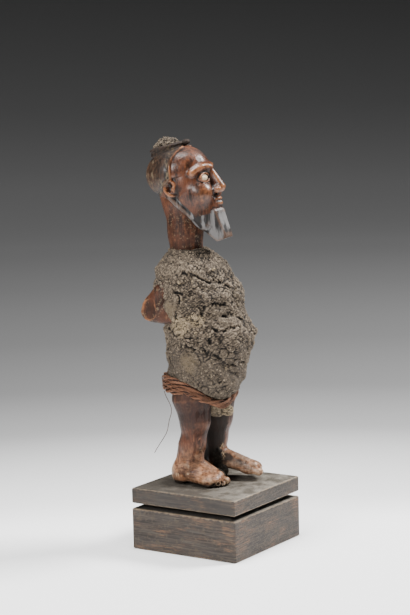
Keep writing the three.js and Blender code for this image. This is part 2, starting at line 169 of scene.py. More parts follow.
def limb(p, a, b, radius_a, radius_b):
    """The distance to the nearest point of the line from a to b, less a radius that changes along it."""
    a, b = np.array(a, float), np.array(b, float)
    t = np.clip((p - a) @ (b - a) / ((b - a) @ (b - a)), 0, 1)
    return np.linalg.norm(p - a - t[..., None] * (b - a), axis=-1) - radius_a - (radius_b - radius_a) * t


def ridge(p, points, radii):
    """A raised line: the nearest of the limbs from each point to the next."""
    radii = np.broadcast_to(radii, len(points))
    parts = [limb(p, *pair, *ends) for pair, ends in zip(zip(points, points[1:]), zip(radii, radii[1:]))]
    return np.minimum.reduce(parts)


def join(a, b, fillet):
    """The lesser of two fields, less a parabola that rounds the seam where they are nearly equal."""
    h = np.maximum(fillet - np.abs(a - b), 0) / fillet
    return np.minimum(a, b) - h * h * fillet / 4


def carve(a, b, fillet):
    """What is left of a when b is cut away: a join of the two insides turned round."""
    return -join(-a, b, fillet)


def facets(p, planes, fillet):
    """A faceted block: what lies under every plane, each a normal and its distance."""
    left = None
    for *normal, distance in planes:
        flat = p @ (np.array(normal) / np.linalg.norm(normal)) - distance
        left = flat if left is None else carve(left, -flat, fillet)
    return left

# %% [markdown]
# ## Wrapping a skin round a field
# A skin is a grid with two parameters: one runs along a line inside the form, the other goes round it. From
# each point of the grid a ray looks outwards, and the skin's vertex is where the ray comes in through the
# surface. To find it we walk in from outside by the field's own value, which is never much more than the
# way left, so a few dozen whole-array steps settle every ray at once.

# %% Skins
WALK_STEPS = 34
WALK_SHARE = 0.85


def smooth_path(points, steps):
    """A curve through points: from each to the next, a cubic that leaves along the neighbours' chord."""
    points = np.array(points, float)
    ends = np.vstack([2 * points[0] - points[1], points, 2 * points[-1] - points[-2]])
    u = np.linspace(0, len(points) - 1, steps)
    i = np.minimum(u.astype(int), len(points) - 2)
    t = (u - i)[:, None]
    a, b, c, d = (ends[i + k] for k in range(4))
    return b + t * ((c - a) / 2 + t * (a - 2.5 * b + 2 * c - d / 2 + t * (1.5 * (b - c) + (d - a) / 2)))


def wrap(field, centres, axes, ahead, tilts, columns, reach, crowd=0.0):
    """Rays from each ring's centre, fanned by its tilt towards its axis and turned round it. They are walked
    from reach to the surface: inwards from a reach outside it, or outwards from 0. The columns crowd towards
    the ahead side."""
    turn = np.linspace(0, 2 * np.pi, columns, endpoint=False)
    angle = turn - crowd * np.sin(turn)
    side = np.cross(axes, ahead)
    flat = np.cos(angle)[:, None] * ahead[:, None] + np.sin(angle)[:, None] * side[:, None]
    ray = np.cos(tilts)[:, None, None] * flat + np.sin(tilts)[:, None, None] * axes[:, None]
    out = np.tile(np.broadcast_to(np.array(reach, float), len(centres))[:, None], (1, columns))
    for _ in range(WALK_STEPS):
        out = np.maximum(out - WALK_SHARE * field(centres[:, None] + ray * out[..., None]), 0)
    return centres[:, None] + ray * out[..., None]


def wrap_straight(field, low, high, rings, columns, reach, crowd=0.0, fan=0.5, ahead=(0, -1, 0)):
    """A skin about the straight line from low to high. Its rays fan out over a share of its rings at each
    end."""
    t = np.linspace(0, 1, rings)
    low, high, ahead = np.array(low, float), np.array(high, float), np.array(ahead, float)
    along = np.clip((t - fan) / max(1 - 2 * fan, 1e-6), 0, 1) if fan < 0.5 else t
    tilts = np.where(t < 0.5, -np.clip(1 - t / fan, 0, 1), np.clip(1 - (1 - t) / fan, 0, 1)) * np.pi / 2
    centres = low + along[:, None] * (high - low)
    axis = np.cross(ahead, np.cross(high - low, ahead))
    axes = np.tile(axis / np.linalg.norm(axis), (rings, 1))
    return wrap(field, centres, axes, np.tile(ahead, (rings, 1)), tilts, columns, reach, crowd)

# %% [markdown]
# ## From a grid to a mesh
# Every skin goes through the same few steps. Its normals are the cross product of the steps along its rows
# and round them. Detail too fine for the fields is added as a height along those normals. Relief compares
# each point with its surroundings, and tells the materials later which points stand proud and which lie in
# hollows: rubbed places and dirt on the carved wood, painted shade in the hollows of the earth, the cord and
# the plinth.

# %% Grid tools
def normals(grid):
    """Unit normals: the step round the ring crossed with the step to the next ring."""
    around = np.roll(grid, -1, 1) - np.roll(grid, 1, 1)
    along = np.gradient(grid, axis=0)
    n = np.cross(around, along)
    n[0], n[-1] = n[1].mean(0), n[-2].mean(0)
    return n / np.maximum(np.linalg.norm(n, axis=-1, keepdims=True), 1e-12)


def relief(grid, reach):
    """How far each point stands out of the mean of the four points that are reach rows or columns away."""
    last = len(grid) - 1
    rows = np.arange(len(grid))
    above, below = grid[np.minimum(rows + reach, last)], grid[np.maximum(rows - reach, 0)]
    around = (np.roll(grid, reach, 1) + np.roll(grid, -reach, 1) + above + below) / 4
    return np.sum((grid - around) * normals(grid), axis=-1)


def flat_list(grid, closed):
    """A grid's values in the order of its mesh: where it isn't closed, each end ring is one single point."""
    if closed:
        return grid.reshape(-1, *grid.shape[2:])
    return np.concatenate([grid[0, :1], grid[1:-1].reshape(-1, *grid.shape[2:]), grid[-1, :1]])


def faces_of(grid, closed):
    """Quads between neighbouring rings, and a fan of triangles round the single point at each open end."""
    rows, columns = grid.shape[:2]
    ring = np.arange(rows * columns if closed else (rows - 2) * columns).reshape(-1, columns) + (not closed)
    if closed:
        ring = np.vstack([ring, ring[:1]])
    ahead = np.roll(ring, -1, 1)
    quads = np.stack([ring[:-1], ahead[:-1], ahead[1:], ring[1:]], -1).reshape(-1, 4).tolist()
    if closed:
        return quads
    first = np.stack([np.zeros(columns, int), ahead[0], ring[0]], -1)
    last = np.stack([ring[-1], ahead[-1], np.full(columns, ring[-1, -1] + 1)], -1)
    return first.tolist() + quads + last.tolist()


slots = {}


def piece(name, grids, slot_name, closed=False, place=standing):
    """One piece of the object from one grid or several, in mm, on the body that carries everything."""
    points, faces = [], []
    for grid in grids:
        start = sum(map(len, points))
        faces += [[start + corner for corner in face] for face in faces_of(grid, closed)]
        points.append(flat_list(grid, closed))
    mesh = bpy.data.meshes.new(name)
    mesh.from_pydata(place(np.vstack(points)).tolist(), [], faces)
    mesh.shade_smooth()
    made = bpy.data.objects.new(name, mesh)
    bpy.context.scene.collection.objects.link(made)
    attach(made, "root")
    slots[made] = slot_name
    print(name + ":", len(mesh.vertices), "points")
    return made


def paint(made, name, grids, closed=False):
    """Stores one number for each vertex as an attribute that a material can read."""
    values = np.concatenate([flat_list(grid, closed) for grid in grids])
    made.data.attributes.new(name, "FLOAT", "POINT").data.foreach_set("value", values.astype(np.float32))

# %% [markdown]
# ## Random detail that is the same every time
# Earth, wood and fibre need irregular detail, but a script has to give the same result each run. So the
# random numbers come from a hash: whole-number places in space are scrambled into a number from 0 to 1.
# Smooth noise blends the eight corners of a cube, and cells measure the way to the nearest of scattered
# points, which is how clods and crumbs look.

# %% Noise
HASH_PRIMES = (73856093, 19349663, 83492791)
HASH_SEED = 7919
HASH_MIX = 1274126177
HASH_TOP = 0xFFFFFF


def scrambled(places, seed):
    """A number from 0 to 1 for each whole-number place."""
    x, y, z = (places[..., k] * prime for k, prime in enumerate(HASH_PRIMES))
    n = x ^ y ^ z ^ (seed * HASH_SEED)
    n = (n ^ (n >> 13)) * HASH_MIX
    return ((n ^ (n >> 16)) & HASH_TOP) / HASH_TOP


def noise(p, size, seed=0):
    """Smooth bumps from -1 to 1, about size wide: corner values blended by a smooth step along each axis."""
    q = p / np.array(size, float)
    low = np.floor(q).astype(np.int64)
    t = q - low
    t = t * t * (3 - 2 * t)
    total = 0
    for corner in np.ndindex(2, 2, 2):
        total = total + np.prod(np.where(corner, t, 1 - t), axis=-1) * scrambled(low + np.array(corner), seed)
    return 2 * total - 1


def fractal(p, size, octaves, seed=0):
    """Noise on noise: each layer half as wide and half as high as the one before."""
    size = np.array(size, float)
    return sum(noise(p, size / 2**k, seed + k) / 2**k for k in range(octaves))


def cells(p, size, seed=0):
    """The distances, in cell widths, to the nearest and the second nearest of points scattered one to a cell,
    and a number from 0 to 1 that belongs to the nearest."""
    q = p / size
    low = np.floor(q).astype(np.int64)
    nearest, second, own = np.full(q.shape[:-1], 9.0), np.full(q.shape[:-1], 9.0), np.zeros(q.shape[:-1])
    for shift in np.ndindex(3, 3, 3):
        cell = low + np.array(shift) - 1
        away = np.linalg.norm(q - cell - np.stack([scrambled(cell, seed + k) for k in range(3)], -1), axis=-1)
        own = np.where(away < nearest, scrambled(cell, seed + 3), own)
        second = np.minimum(second, np.maximum(nearest, away))
        nearest = np.minimum(nearest, away)
    return nearest, second, own


def step(low, high, values):
    """A smooth step from 0 at low to 1 at high."""
    t = np.clip((values - low) / (high - low), 0, 1)
    return t * t * (3 - 2 * t)


def spots(p, places):
    """1 at a place's middle and 0 near its radius, the edge broken up by noise: the most of all places."""
    edge = 0.25 * fractal(p, 5, 2, 98)
    away = [np.linalg.norm(p - np.array(centre), axis=-1) / radius for centre, radius in places]
    return np.max([1 - step(0.35, 0.9, share + edge) for share in away], 0)

# %% [markdown]
# ## The head
# The head is carved in a frame of its own that leans back and turns a little. Both halves are alike, so the
# fields look at the left half only, by taking the absolute value of x. A small skull and jaw come first,
# then the cheeks, the brow, the sockets of the inlaid eyes and the nose, all joined over soft fillets. The
# face is a calm one on even proportions: eyes halfway down the head, and the nose and the mouth on equal
# steps below them.

# %% Head frame and skull
HEAD_CENTRE = np.array([0.0, 5.0, 160.0])
HEAD_TILT = np.radians(15)
HEAD_TURN = np.radians(6)
HEAD_MATRIX = about_z(HEAD_TURN) @ about_x(-HEAD_TILT)
EYE_CENTRE = (6.2, -11.9, 0.3)
EYE_RADII = (3.7, 2.0, 1.9)
HAIR_LOW = 4.0
HAIR_SLOPE = 0.62


def in_head(points):
    """Points of the head's frame as points of the figure's frame."""
    return points @ HEAD_MATRIX.T + HEAD_CENTRE


def over_hair_edge(p):
    """How far a point lies above the low edge of the hair, which falls from the ears to the nape."""
    return (p[..., 2] - HAIR_LOW + HAIR_SLOPE * np.maximum(p[..., 1] - 3, 0)) / np.hypot(1, HAIR_SLOPE)


def skull(p):
    """Skull, jaw, the side of the head under the ear, nape, and the cap of hair with its low edge."""
    cap = carve(ellipsoid(p, (0, 3.6, 7.4), (14, 17.6, 13.6)), over_hair_edge(p), 1.6)
    d = ellipsoid(p, (0, 1.4, 4.5), (13, 15.6, 14))
    d = join(d, limb(p, (0, -1.5, -5), (0, -6, -17), 12.3, 8.4), 5)
    d = join(d, limb(p, (5, 0.6, -8), (3, -5.6, -22.5), 6.8, 4.8), 3)
    d = join(d, ellipsoid(p, (12.2, 5, -0.4), (2.2, 3.4, 4.6)), 1.5)
    d = join(d, limb(p, (0, 6.6, 2), (0, 6.4, -7), 10.4, 9.6), 3)
    return join(d, cap, 0.5)

# %% [markdown]
# ## The face, the ears and the beard
# Raised lines do most of the work here: the lids round the eyes, the lips, the rim of the ear, the thin
# line of the hair's edge and the band along the jaw. Each is a chain of limbs, joined over a small fillet
# so that it grows out of the wood. The beard is a faceted block, cut by a few planes, as the carver's knife
# left it.

# %% Face
HAIRLINE = [
    (2.6, -3.6, 18.8),
    (5.4, -4.6, 18.5),
    (8.4, -2.4, 17.5),
    (12.1, 0.8, 13.9),
    (13.8, 2.5, 8.9),
    (13.6, 3.3, 3.6),
]
BEARD_EDGE = [(11.6, 6.6, -4.4), (9.8, 2.2, -12), (6.9, -2.2, -18.8), (3.4, -6.4, -25.4)]
EAR = [(12.8, 2.4, 1.8), (13.9, 4, 3.8), (14.2, 6.8, 2.6)]
EAR += [(14.1, 7.6, -0.8), (13.6, 6, -3.8), (12.4, 3.4, -4.8)]
UPPER_LIP = [(0, -15.2, -12), (2.4, -14.8, -12.1), (4.9, -11.9, -12.9)]
LOWER_LIP = [(0, -15, -14.4), (2.4, -14.5, -14.3), (4.7, -11.9, -13.7)]
BEARD = [
    (0, -1, 0, 16.2),
    (0.41, -0.91, 0.04, 14.3),
    (1, 0.1, -0.15, 7.8),
    (0, -0.1, -1, 34.6),
    (0, 0.83, -0.56, 11.8),
    (0, 0, 1, -17.6),
]


def lid_line(steps=18):
    """A closed oval round the eye, lying on the cheek: wider than the eye and pointed at its corners."""
    a = np.linspace(0, 2 * np.pi, steps)
    x = EYE_CENTRE[0] + 4.3 * np.cos(a)
    z = EYE_CENTRE[2] + 2.3 * np.sin(a) * np.abs(np.sin(a)) ** 0.15
    y = EYE_CENTRE[1] - 1.5 * np.cos((x - EYE_CENTRE[0]) / 5.2) + 0.16 * (x - EYE_CENTRE[0])
    return np.stack([x, y, z], -1)


def face(p):
    """Cheek, muzzle, brow, eye socket, nose with its wing and nostril, lids and lips."""
    d = join(skull(p), ellipsoid(p, (7, -8.5, -7), (5.6, 6.4, 6)), 4)
    d = join(d, ellipsoid(p, (0, -8, -14.5), (6.6, 6.8, 6)), 3)
    d = join(d, ridge(p, smooth_path([(0, -14.6, 5.4), (6.5, -12.8, 6.2), (11, -8.4, 4.2)], 9), 1.5), 2.5)
    d = carve(d, ellipsoid(p, (6.4, -17, 0.6), (5.1, 4.8, 4)), 1.6)
    d = join(d, limb(p, (0, -14.4, 4.4), (0, -18, -6.4), 1.6, 2.4), 1.6)
    d = join(d, ellipsoid(p, (2.6, -16, -7.4), (2.2, 2.6, 1.8)), 1.2)
    d = carve(d, ellipsoid(p, (1.9, -17.4, -9.4), (0.9, 1.3, 0.9)), 0.5)
    d = join(d, ridge(p, lid_line(), 0.42), 0.5)
    d = join(d, ridge(p, smooth_path(UPPER_LIP, 9), np.linspace(1.3, 0.5, 9)), 0.5)
    return join(d, ridge(p, smooth_path(LOWER_LIP, 9), np.linspace(1.45, 0.5, 9)), 0.35)


def ear_form(p, d):
    """The rim of the ear, a hollow inside it and the small tongue in front."""
    d = carve(d, ellipsoid(p, (14.9, 5, -0.2), (2.6, 2.4, 3.6)), 0.4)
    d = join(d, ridge(p, smooth_path(EAR, 17), 0.95), 0.4)
    return join(d, ridge(p, [(13.2, 3.2, -0.6), (13.3, 4.6, -2.6)], 0.75), 0.4)


def head_field(p):
    """The whole head: face, ear, hairline, jaw band and beard, on both sides."""
    p = np.concatenate([np.abs(p[..., :1]), p[..., 1:]], axis=-1)
    d = ear_form(p, face(p))
    d = join(d, ridge(p, smooth_path(HAIRLINE, 15), 0.8), 0.35)
    d = join(d, ridge(p, smooth_path(BEARD_EDGE, 9), 2), 0.25)
    return join(d, facets(p, BEARD, 0.5), 0.5)

# %% [markdown]
# ## The skin of the head
# The rays start from a short line inside the head. They crowd towards the face, where the fine lines are.
# Long shallow noise, stretched down the face, leaves the traces of the knife. Three numbers for each point
# tell the wood's material which parts are hair or beard and how much each point stands proud of its
# surroundings.

# %% Head skin
def carved(grid, height, seed):
    """The traces of the knife: shallow flats and ripples, longest along z, as a height along the normals."""
    flats = noise(grid, (3.2, 3.2, 7.5), seed) + 0.5 * noise(grid, (1.4, 1.4, 5), seed + 1)
    return grid + normals(grid) * (height * flats)[..., None]


def behind_hairline(p):
    """1 in the hair and 0 on the face, by how far back a point lies of the hairline at its height."""
    line = np.array(HAIRLINE)[::-1]
    edge = np.interp(p[..., 2], line[:, 2], line[:, 1])
    return step(-0.4, 0.4, p[..., 1] - edge) * step(-0.8, 0.2, over_hair_edge(p))


head_rays = wrap_straight(head_field, (0, -0.6, -9), (0, 1.6, 4), rings=280, columns=290, reach=46, crowd=0.5)
head_rays = carved(head_rays, 0.09, seed=11)
half_head = np.concatenate([np.abs(head_rays[..., :1]), head_rays[..., 1:]], axis=-1)
beard_distance = np.minimum(facets(half_head, BEARD, 0.7), ridge(half_head, smooth_path(BEARD_EDGE, 9), 2.1))
head = piece("head", [in_head(head_rays)], "carved_wood")
paint(head, "hair", [behind_hairline(head_rays)])
under_chin = step(-0.3, 0.3, -18.6 - head_rays[..., 2]) * step(-0.3, 0.3, -head_rays[..., 1])
paint(head, "beard", [np.maximum(1 - step(0.15, 0.6, beard_distance), under_chin)])
paint(head, "relief", [relief(head_rays, 5)])
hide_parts("figure")

# %% [markdown]
# ## The crest
# A flat, tilted disc of hair sits on the crown, darker underneath, with a knob at its front. Old offerings
# have left a pale crust on it. The disc is a profile spun round an axis and stretched to an oval, and the
# crust is a dome whose height is broken up by cells and noise.

# %% Crest and crust
def spun(profile, columns):
    """A profile of (radius, height) pairs, turned round the Z axis."""
    turn = np.linspace(0, 2 * np.pi, columns, endpoint=False)
    profile = np.array(profile)
    around = np.stack([np.sin(turn), -np.cos(turn)], -1)
    flat = profile[:, :1, None] * around[None]
    return np.concatenate([flat, np.broadcast_to(profile[:, 1:, None], flat.shape[:2] + (1,))], axis=-1)


def dome(centre, radii, rows, columns):
    """An ellipsoid as rings from its lowest to its highest point."""
    lift = np.linspace(-np.pi / 2, np.pi / 2, rows)
    return spun(np.stack([np.cos(lift), np.sin(lift)], -1), columns) * np.array(radii) + np.array(centre)


PLATE_EDGE = [
    (0, 16.6),
    (5, 16.9),
    (7.3, 17.5),
    (7.9, 18.6),
    (7.6, 20.2),
    (7.9, 21.4),
    (7.2, 22.3),
    (5.6, 22.5),
    (0, 22.5),
]
plate = spun(smooth_path(PLATE_EDGE, 70), 150) * (1, 10 / 7.6, 1) + (0, 5.2, 0)
plate = plate + normals(plate) * (0.22 * fractal(plate, 2.6, 3, 21))[..., None]
crest = piece("crest", [in_head(plate)], "carved_wood")
paint(crest, "hair", [np.ones(plate.shape[:2])])
paint(crest, "relief", [relief(plate, 3)])

crust_dome = dome((0, 6.2, 22.2), (5.9, 6.9, 4.2), 100, 140)
crust_dome = crust_dome + normals(crust_dome) * (0.7 * noise(crust_dome, 3.4, 30))[..., None]
clods, clod_gap, clod_size = cells(crust_dome, 1.7, 31)
gaps = 1 - step(0.0, 0.18, clod_gap - clods)
rough = 0.5 * clod_size - 0.6 * clods - 0.35 * gaps + 0.25 * fractal(crust_dome, 0.9, 3, 33)
crust_dome = crust_dome + normals(crust_dome) * rough[..., None]
crest_crust = piece("crest_crust", [in_head(crust_dome)], "earth")
paint(crest_crust, "relief", [relief(crust_dome, 2)])

knob = dome((0, -5.2, 21.3), (2.5, 2.4, 1.5), 40, 60)
knob = knob + normals(knob) * (0.16 * noise(knob, 1.3, 41))[..., None]
crest_knob = piece("crest_knob", [in_head(knob)], "carved_wood")
paint(crest_knob, "hair", [np.ones(knob.shape[:2])])
paint(crest_knob, "relief", [relief(knob, 3)])

# %% [markdown]
# ## The inlaid eyes
# Each eye is a chip of shell or bone let into its socket. It is a flattened ball, chipped along its rim and
# no longer quite even, so a little noise goes on top.

# %% Eyes
for side, side_name in ((-1, "right"), (1, "left")):
    ball = dome((side * EYE_CENTRE[0], *EYE_CENTRE[1:]), EYE_RADII, 60, 90)
    ball = ball + normals(ball) * (0.1 * fractal(ball, 1.2, 3, 51 + side))[..., None]
    eye = piece("eye_" + side_name, [in_head(ball)], "eye_inlay")
    paint(eye, "relief", [relief(ball, 3)])
    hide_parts("eye_inlay_" + side_name)

# %% [markdown]
# ## The neck and the arms
# The neck is a long, slightly widening limb that runs up under the hair. It was worked with upright
# strokes, so its noise is narrow and tall. The arms leave the shoulders inside the charge, and only the
# bent elbows come out of it at the back, rather sharp, before the forearms go in again.

# %% Neck and arms
NECK_FOOT, NECK_MIDDLE, NECK_HEAD = (0, 6, 104), (0, 7, 134), (0, 9, 152)


def neck_field(p):
    """Two limbs end to end, and the nape inside the head."""
    d = join(limb(p, NECK_FOOT, NECK_MIDDLE, 8.6, 8.8), limb(p, NECK_MIDDLE, NECK_HEAD, 8.8, 9.6), 3)
    nape = limb(p, in_head(np.array([0, 6.4, 0])), in_head(np.array([0, 6.1, -6])), 10, 9.2)
    return join(d, nape, 5)


def strokes(grid, height, seed):
    """Upright strokes of the knife: noise that is narrow round the form and tall along it."""
    cuts = noise(grid, (1.7, 1.7, 16), seed) + 0.6 * noise(grid, (0.8, 0.8, 9), seed + 1)
    return grid + normals(grid) * (height * cuts)[..., None]


neck_rays = wrap_straight(neck_field, NECK_FOOT, (0, 9.4, 151), rings=190, columns=130, reach=16, fan=0.12)
neck_skin = strokes(neck_rays, 0.13, 61)
neck = piece("neck", [neck_skin], "carved_wood")
paint(neck, "relief", [relief(neck_skin, 3)])


ELBOW_CORNER = np.array([15.5, 25.2, 90.2])
ELBOW_CUTS = [(0, 0.94, 0.33, 1), (0, 0.28, -0.96, 0.5), (0.97, 0.24, 0, 3.2), (-0.92, 0.38, 0, 3.6)]


def arm_field(p, side):
    """Upper arm and forearm, cut off flat by the knife behind, below and on both sides of the elbow."""
    shoulder, elbow, hand = (side * 13, 8, 110), (side * 15.2, 18.8, 94), (side * 15, 0, 90.4)
    arm = join(limb(p, shoulder, elbow, 5.6, 7), limb(p, elbow, hand, 7, 4.6), 1)
    for *normal, distance in ELBOW_CUTS:
        arm = carve(arm, distance - (p * (side, 1, 1) - ELBOW_CORNER) @ np.array(normal), 0.15)
    return arm


for side, side_name in ((-1, "right"), (1, "left")):
    arm_low, arm_high = (side * 15, 14.4, 96), (side * 14.6, 11, 104)
    arm_rays = wrap_straight(
        lambda p: arm_field(p, side), arm_low, arm_high, rings=140, columns=120, reach=30
    )
    arm_skin = strokes(arm_rays, 0.12, 65 + side)
    arm = piece("arm_" + side_name, [arm_skin], "carved_wood")
    paint(arm, "relief", [relief(arm_skin, 3)])

# %% [markdown]
# ## The hips
# Most of the hips is hidden by the charge and the cord. What shows is the wood between and under them, so
# one rounded drum is enough. It keeps inside the cord, which lies in a ring round it.

# %% Hips
HIPS_CENTRE = np.array([0.0, 0.6])
HIPS_RADIUS = 18.4


def hips_field(p):
    """A flattened ball and a low drum with round edges inside the cord."""
    round_part = np.linalg.norm(p[..., :2] - HIPS_CENTRE, axis=-1) - HIPS_RADIUS + 1.4
    drum = carve(round_part, 6 - np.abs(p[..., 2] - 54), 4)
    return join(ellipsoid(p, (0, 0, 53), (17, 16.4, 13)), drum, 2)


hips_rays = wrap_straight(hips_field, (0, 0, 50), (0, 0, 58), rings=90, columns=130, reach=24)
hips_skin = strokes(hips_rays, 0.12, 71)
hips = piece("hips", [hips_skin], "carved_wood")
paint(hips, "relief", [relief(hips_skin, 3)])

# %% [markdown]
# ## The legs and the feet
# A leg and its foot are one skin. The line inside it runs down the shin, bends over the heel and goes on to
# the toes, and its rings turn with it from level to upright. They turn slowly, over a longer stretch than
# the line itself bends, so that neighbouring rays never cross on the inner side of the bend. The toes are
# short limbs with a groove cut between each two, and a shallow bed for each nail.

# %% Legs
LEGS = [
    {
        "name": "leg_right",
        "side": -1,
        "bones": [(-10, 0, 46, 11), (-10, -1.2, 34.5, 7.7), (-9.6, 0.5, 22, 6.4), (-9.7, 1.8, 12, 6.1)],
        "heel": (-9.3, 7.2),
        "toes": (-11.8, -16.6),
        "toe_rise": 0,
        "arch": (6.5, 1.6),
    },
    {
        "name": "leg_left",
        "side": 1,
        "bones": [(10, -3.6, 44, 10.8), (10, -3.4, 33, 8.6), (10.4, -2.8, 22, 6.2), (10.5, -2.2, 12, 6)],
        "heel": (10.5, 1),
        "toes": (14.2, -27.4),
        "toe_rise": 2.2,
        "arch": (10, 4.2),
    },
]
TOES = [(-4.3, 0.7, 2.2), (-1.1, 0.6, 1.55), (1.4, -0.6, 1.45), (3.7, -2.2, 1.4), (5.7, -4.2, 1.35)]
GROOVE_LENGTH = 8.5
HIP_RINGS = 20
TOE_RINGS = 50


def foot_axes(leg):
    """The foot's own axes as columns: outwards from its big toe, from heel to toes, and up."""
    forward = np.array([*np.subtract(leg["toes"], leg["heel"]), 0.0])
    forward /= np.linalg.norm(forward)
    outward = np.array([forward[1], -forward[0], 0]) * -leg["side"]
    return np.stack([outward, forward, [0, 0, 1]], axis=-1)


def foot_length(leg):
    """From the middle of the heel to the middle of the toes."""
    return np.hypot(*np.subtract(leg["toes"], leg["heel"]))


def in_foot(p, leg):
    """Points in the foot's own frame, with z measured from a sole that may rise towards the toes."""
    q = (p - np.array([*leg["heel"], 0.0])) @ foot_axes(leg)
    return q - np.array([0, 0, 1]) * leg["toe_rise"] * step(0, foot_length(leg), q[..., 1:2])


def toe_grooves(q, length):
    """The distances to the grooves between the toes, which sink and widen towards the tips."""
    distances = []
    for (a, reach, _), (b, _, half) in zip(TOES, TOES[1:]):
        x, tip = (a + b) / 2, length + reach
        distances.append(limb(q, (x * 0.8, tip - GROOVE_LENGTH, 6.9), (x, tip + 1, half + 0.4), 0.3, 0.75))
    return distances


def foot_field(p, leg):
    """Heel, a high instep towards the big toe, a low outer side, ball and toes over a hollow arch."""
    length = foot_length(leg)
    q = in_foot(p, leg)
    d = ellipsoid(q, (0, 0, 5.4), (5.6, 6.4, 7.6))
    d = join(d, limb(q, (-0.4, 6, 10.4), (-2.6, length - 3.5, 4.4), 5.6, 3.4), 3)
    d = join(d, limb(q, (1.2, 4, 5.6), (3.2, length - 7, 3.3), 5, 3.1), 3)
    d = join(d, ellipsoid(q, (0.6, length - 5, 3.2), (6.6, 5.6, 3.6)), 2.5)
    middle, rise = leg["arch"]
    d = carve(d, ellipsoid(q, (0, middle, -5), (14, 5.5 + rise, 5 + rise)), 1.2)
    for outward, reach, half in TOES:
        tip = length + reach
        toe = limb(q, (outward * 0.9, tip - 5, half + 1.1), (outward, tip, half), half + 0.1, half)
        toe = carve(toe, ellipsoid(q, (outward, tip + 0.6, 2 * half + 0.35), (half * 0.6, 1.3, 0.55)), 0.2)
        d = join(d, toe, 0.4)
    for groove in toe_grooves(q, length):
        d = carve(d, groove, 0.4)
    return carve(d, q[..., 2], 0.4)

# %% [markdown]
# ## The skin of a leg
# The thigh, the knee, the shin and the ankle join the foot in one field. The skin's rings follow the line
# inside the leg, with two fans of rays that close it over the hip and round the toes.

# %% Leg skin
def leg_field(p, leg):
    """Thigh, knee, shin, ankle with its bones and the tendon behind it, and the foot."""
    bones = np.array(leg["bones"], float)
    joints = bones[:, :3]
    ankle = joints[-1]
    thigh, calf, shin = (limb(p, a[:3], b[:3], a[3], b[3]) for a, b in zip(bones, bones[1:]))
    d = join(join(thigh, calf, 3), shin, 3)
    d = join(d, limb(p, ankle + (0, 2.6, 8), (*leg["heel"], 7), 4.2, 5), 3)
    for bone in (-1, 1):
        d = join(d, ellipsoid(p, ankle + (bone * 4.9, -0.6, -1.6), (1.8, 2, 2)), 1.6)
    return join(d, foot_field(p, leg), 2)


def leg_skin(leg, rings=310, columns=150):
    """Rings from the hip to the toes. A fourth number beside each point of the line is how far its ring has
    turned, from level at 0 to upright at 1. The rays walk outwards nearly everywhere, because in the bend
    they would cross the shin from outside, and inwards only round the toes."""
    hip, knee, shin, ankle = np.array(leg["bones"], float)[:, :3]
    to_foot, heel, length = foot_axes(leg), np.array([*leg["heel"], 0.0]), foot_length(leg)
    inside = [(0, 3.4, 7.2), (0, length * 0.4, 5.8), (0, length * 0.65, 4.6), (-0.9, length - 2.4, 2.4)]
    line = [hip + (0, 0, 8), hip, knee, shin, ankle + (0, 0, 2), *(heel + np.array(inside) @ to_foot.T)]
    turned = [0, 0, 0, 0, 0.12, 0.6, 0.96, 1, 1]
    between = rings - HIP_RINGS - TOE_RINGS
    path = smooth_path([(*point, angle) for point, angle in zip(line, turned)], between)
    path = np.vstack([np.tile(path[:1], (HIP_RINGS, 1)), path, np.tile(path[-1:], (TOE_RINGS, 1))])
    hip_tilts, toe_tilts = np.linspace(-np.pi / 2, 0, HIP_RINGS), np.linspace(0, np.pi / 2, TOE_RINGS)
    tilts = np.concatenate([hip_tilts, np.zeros(between), toe_tilts])
    lean = path[:, 3:] * np.pi / 2
    down, forward = np.array([0, 0, -1.0]), to_foot[:, 1]
    axes = np.cos(lean) * down + np.sin(lean) * forward
    ahead = np.cos(lean) * forward - np.sin(lean) * down
    reach = np.where((path[:, 3] > 0.97) & (np.arange(rings) > rings / 2), 12, 0)
    return wrap(lambda p: leg_field(p, leg), path[:, :3], axes, ahead, tilts, columns, reach)

# %% [markdown]
# ## Chips, dirt and painted shade on the legs
# Small chips have come off the shins and the feet, at places listed one by one, and the inner sides are
# darkened by dirt and by painted shade between the legs. Both are numbers from 0 to 1 at each point of the
# skin.

# %% Both legs
CHIPS = [
    ((-12.2, -4.6, 20.5), 1.8),
    ((-12.2, -5.2, 17.6), 2.2),
    ((-12.6, -6.4, 15.4), 1.6),
    ((-15, 7.3, 4.8), 2),
    ((-15, 0.7, 5.4), 2.2),
    ((-14, -1.8, 3.4), 1.6),
    ((7.2, -7.6, 17.5), 2.8),
    ((6.6, -8.6, 12.6), 3),
]
INNER_CRUST = [
    ((-5.4, -8, 4.4), (1.7, 8.4, 4.6)),
    ((5.6, -5.4, 11.5), (1.5, 3.4, 6.4)),
    ((4.9, -8, 4.6), (1.3, 5, 4)),
]


def grimed_and_shaded(p, side):
    """1 where dirt and painted shade go: the shin's inner side, between the legs, and the sole's edge."""
    edge = 0.35 * fractal(p, 4, 3, 93)
    # The inner side faces the other leg: its dark is dirt and painted shade.
    inner = step(0.2, 4, 10 - side * p[..., 0]) * step(5, 12, p[..., 2]) * (1 - step(38, 48, p[..., 2]))
    sole = 1 - step(0.6, 2.6, p[..., 2])
    return step(0.25, 0.75, np.maximum(inner, sole) + edge)


for leg in LEGS:
    rays = strokes(leg_skin(leg), 0.1, 81 + leg["side"])
    rays[..., 2] = np.maximum(rays[..., 2], 0)
    made = piece(leg["name"], [rays], "carved_wood")
    grooves = np.min(toe_grooves(in_foot(rays, leg), foot_length(leg)), 0)
    groove_edges = np.exp(-(((grooves - 0.35) / 0.3) ** 2)) * step(-0.3, 0.3, noise(rays, 1.6, 95))
    paint(made, "relief", [relief(rays, 4)])
    paint(made, "grime_and_shade", [grimed_and_shaded(rays, leg["side"])])
    paint(made, "chips", [np.maximum(spots(rays, CHIPS), groove_edges)])

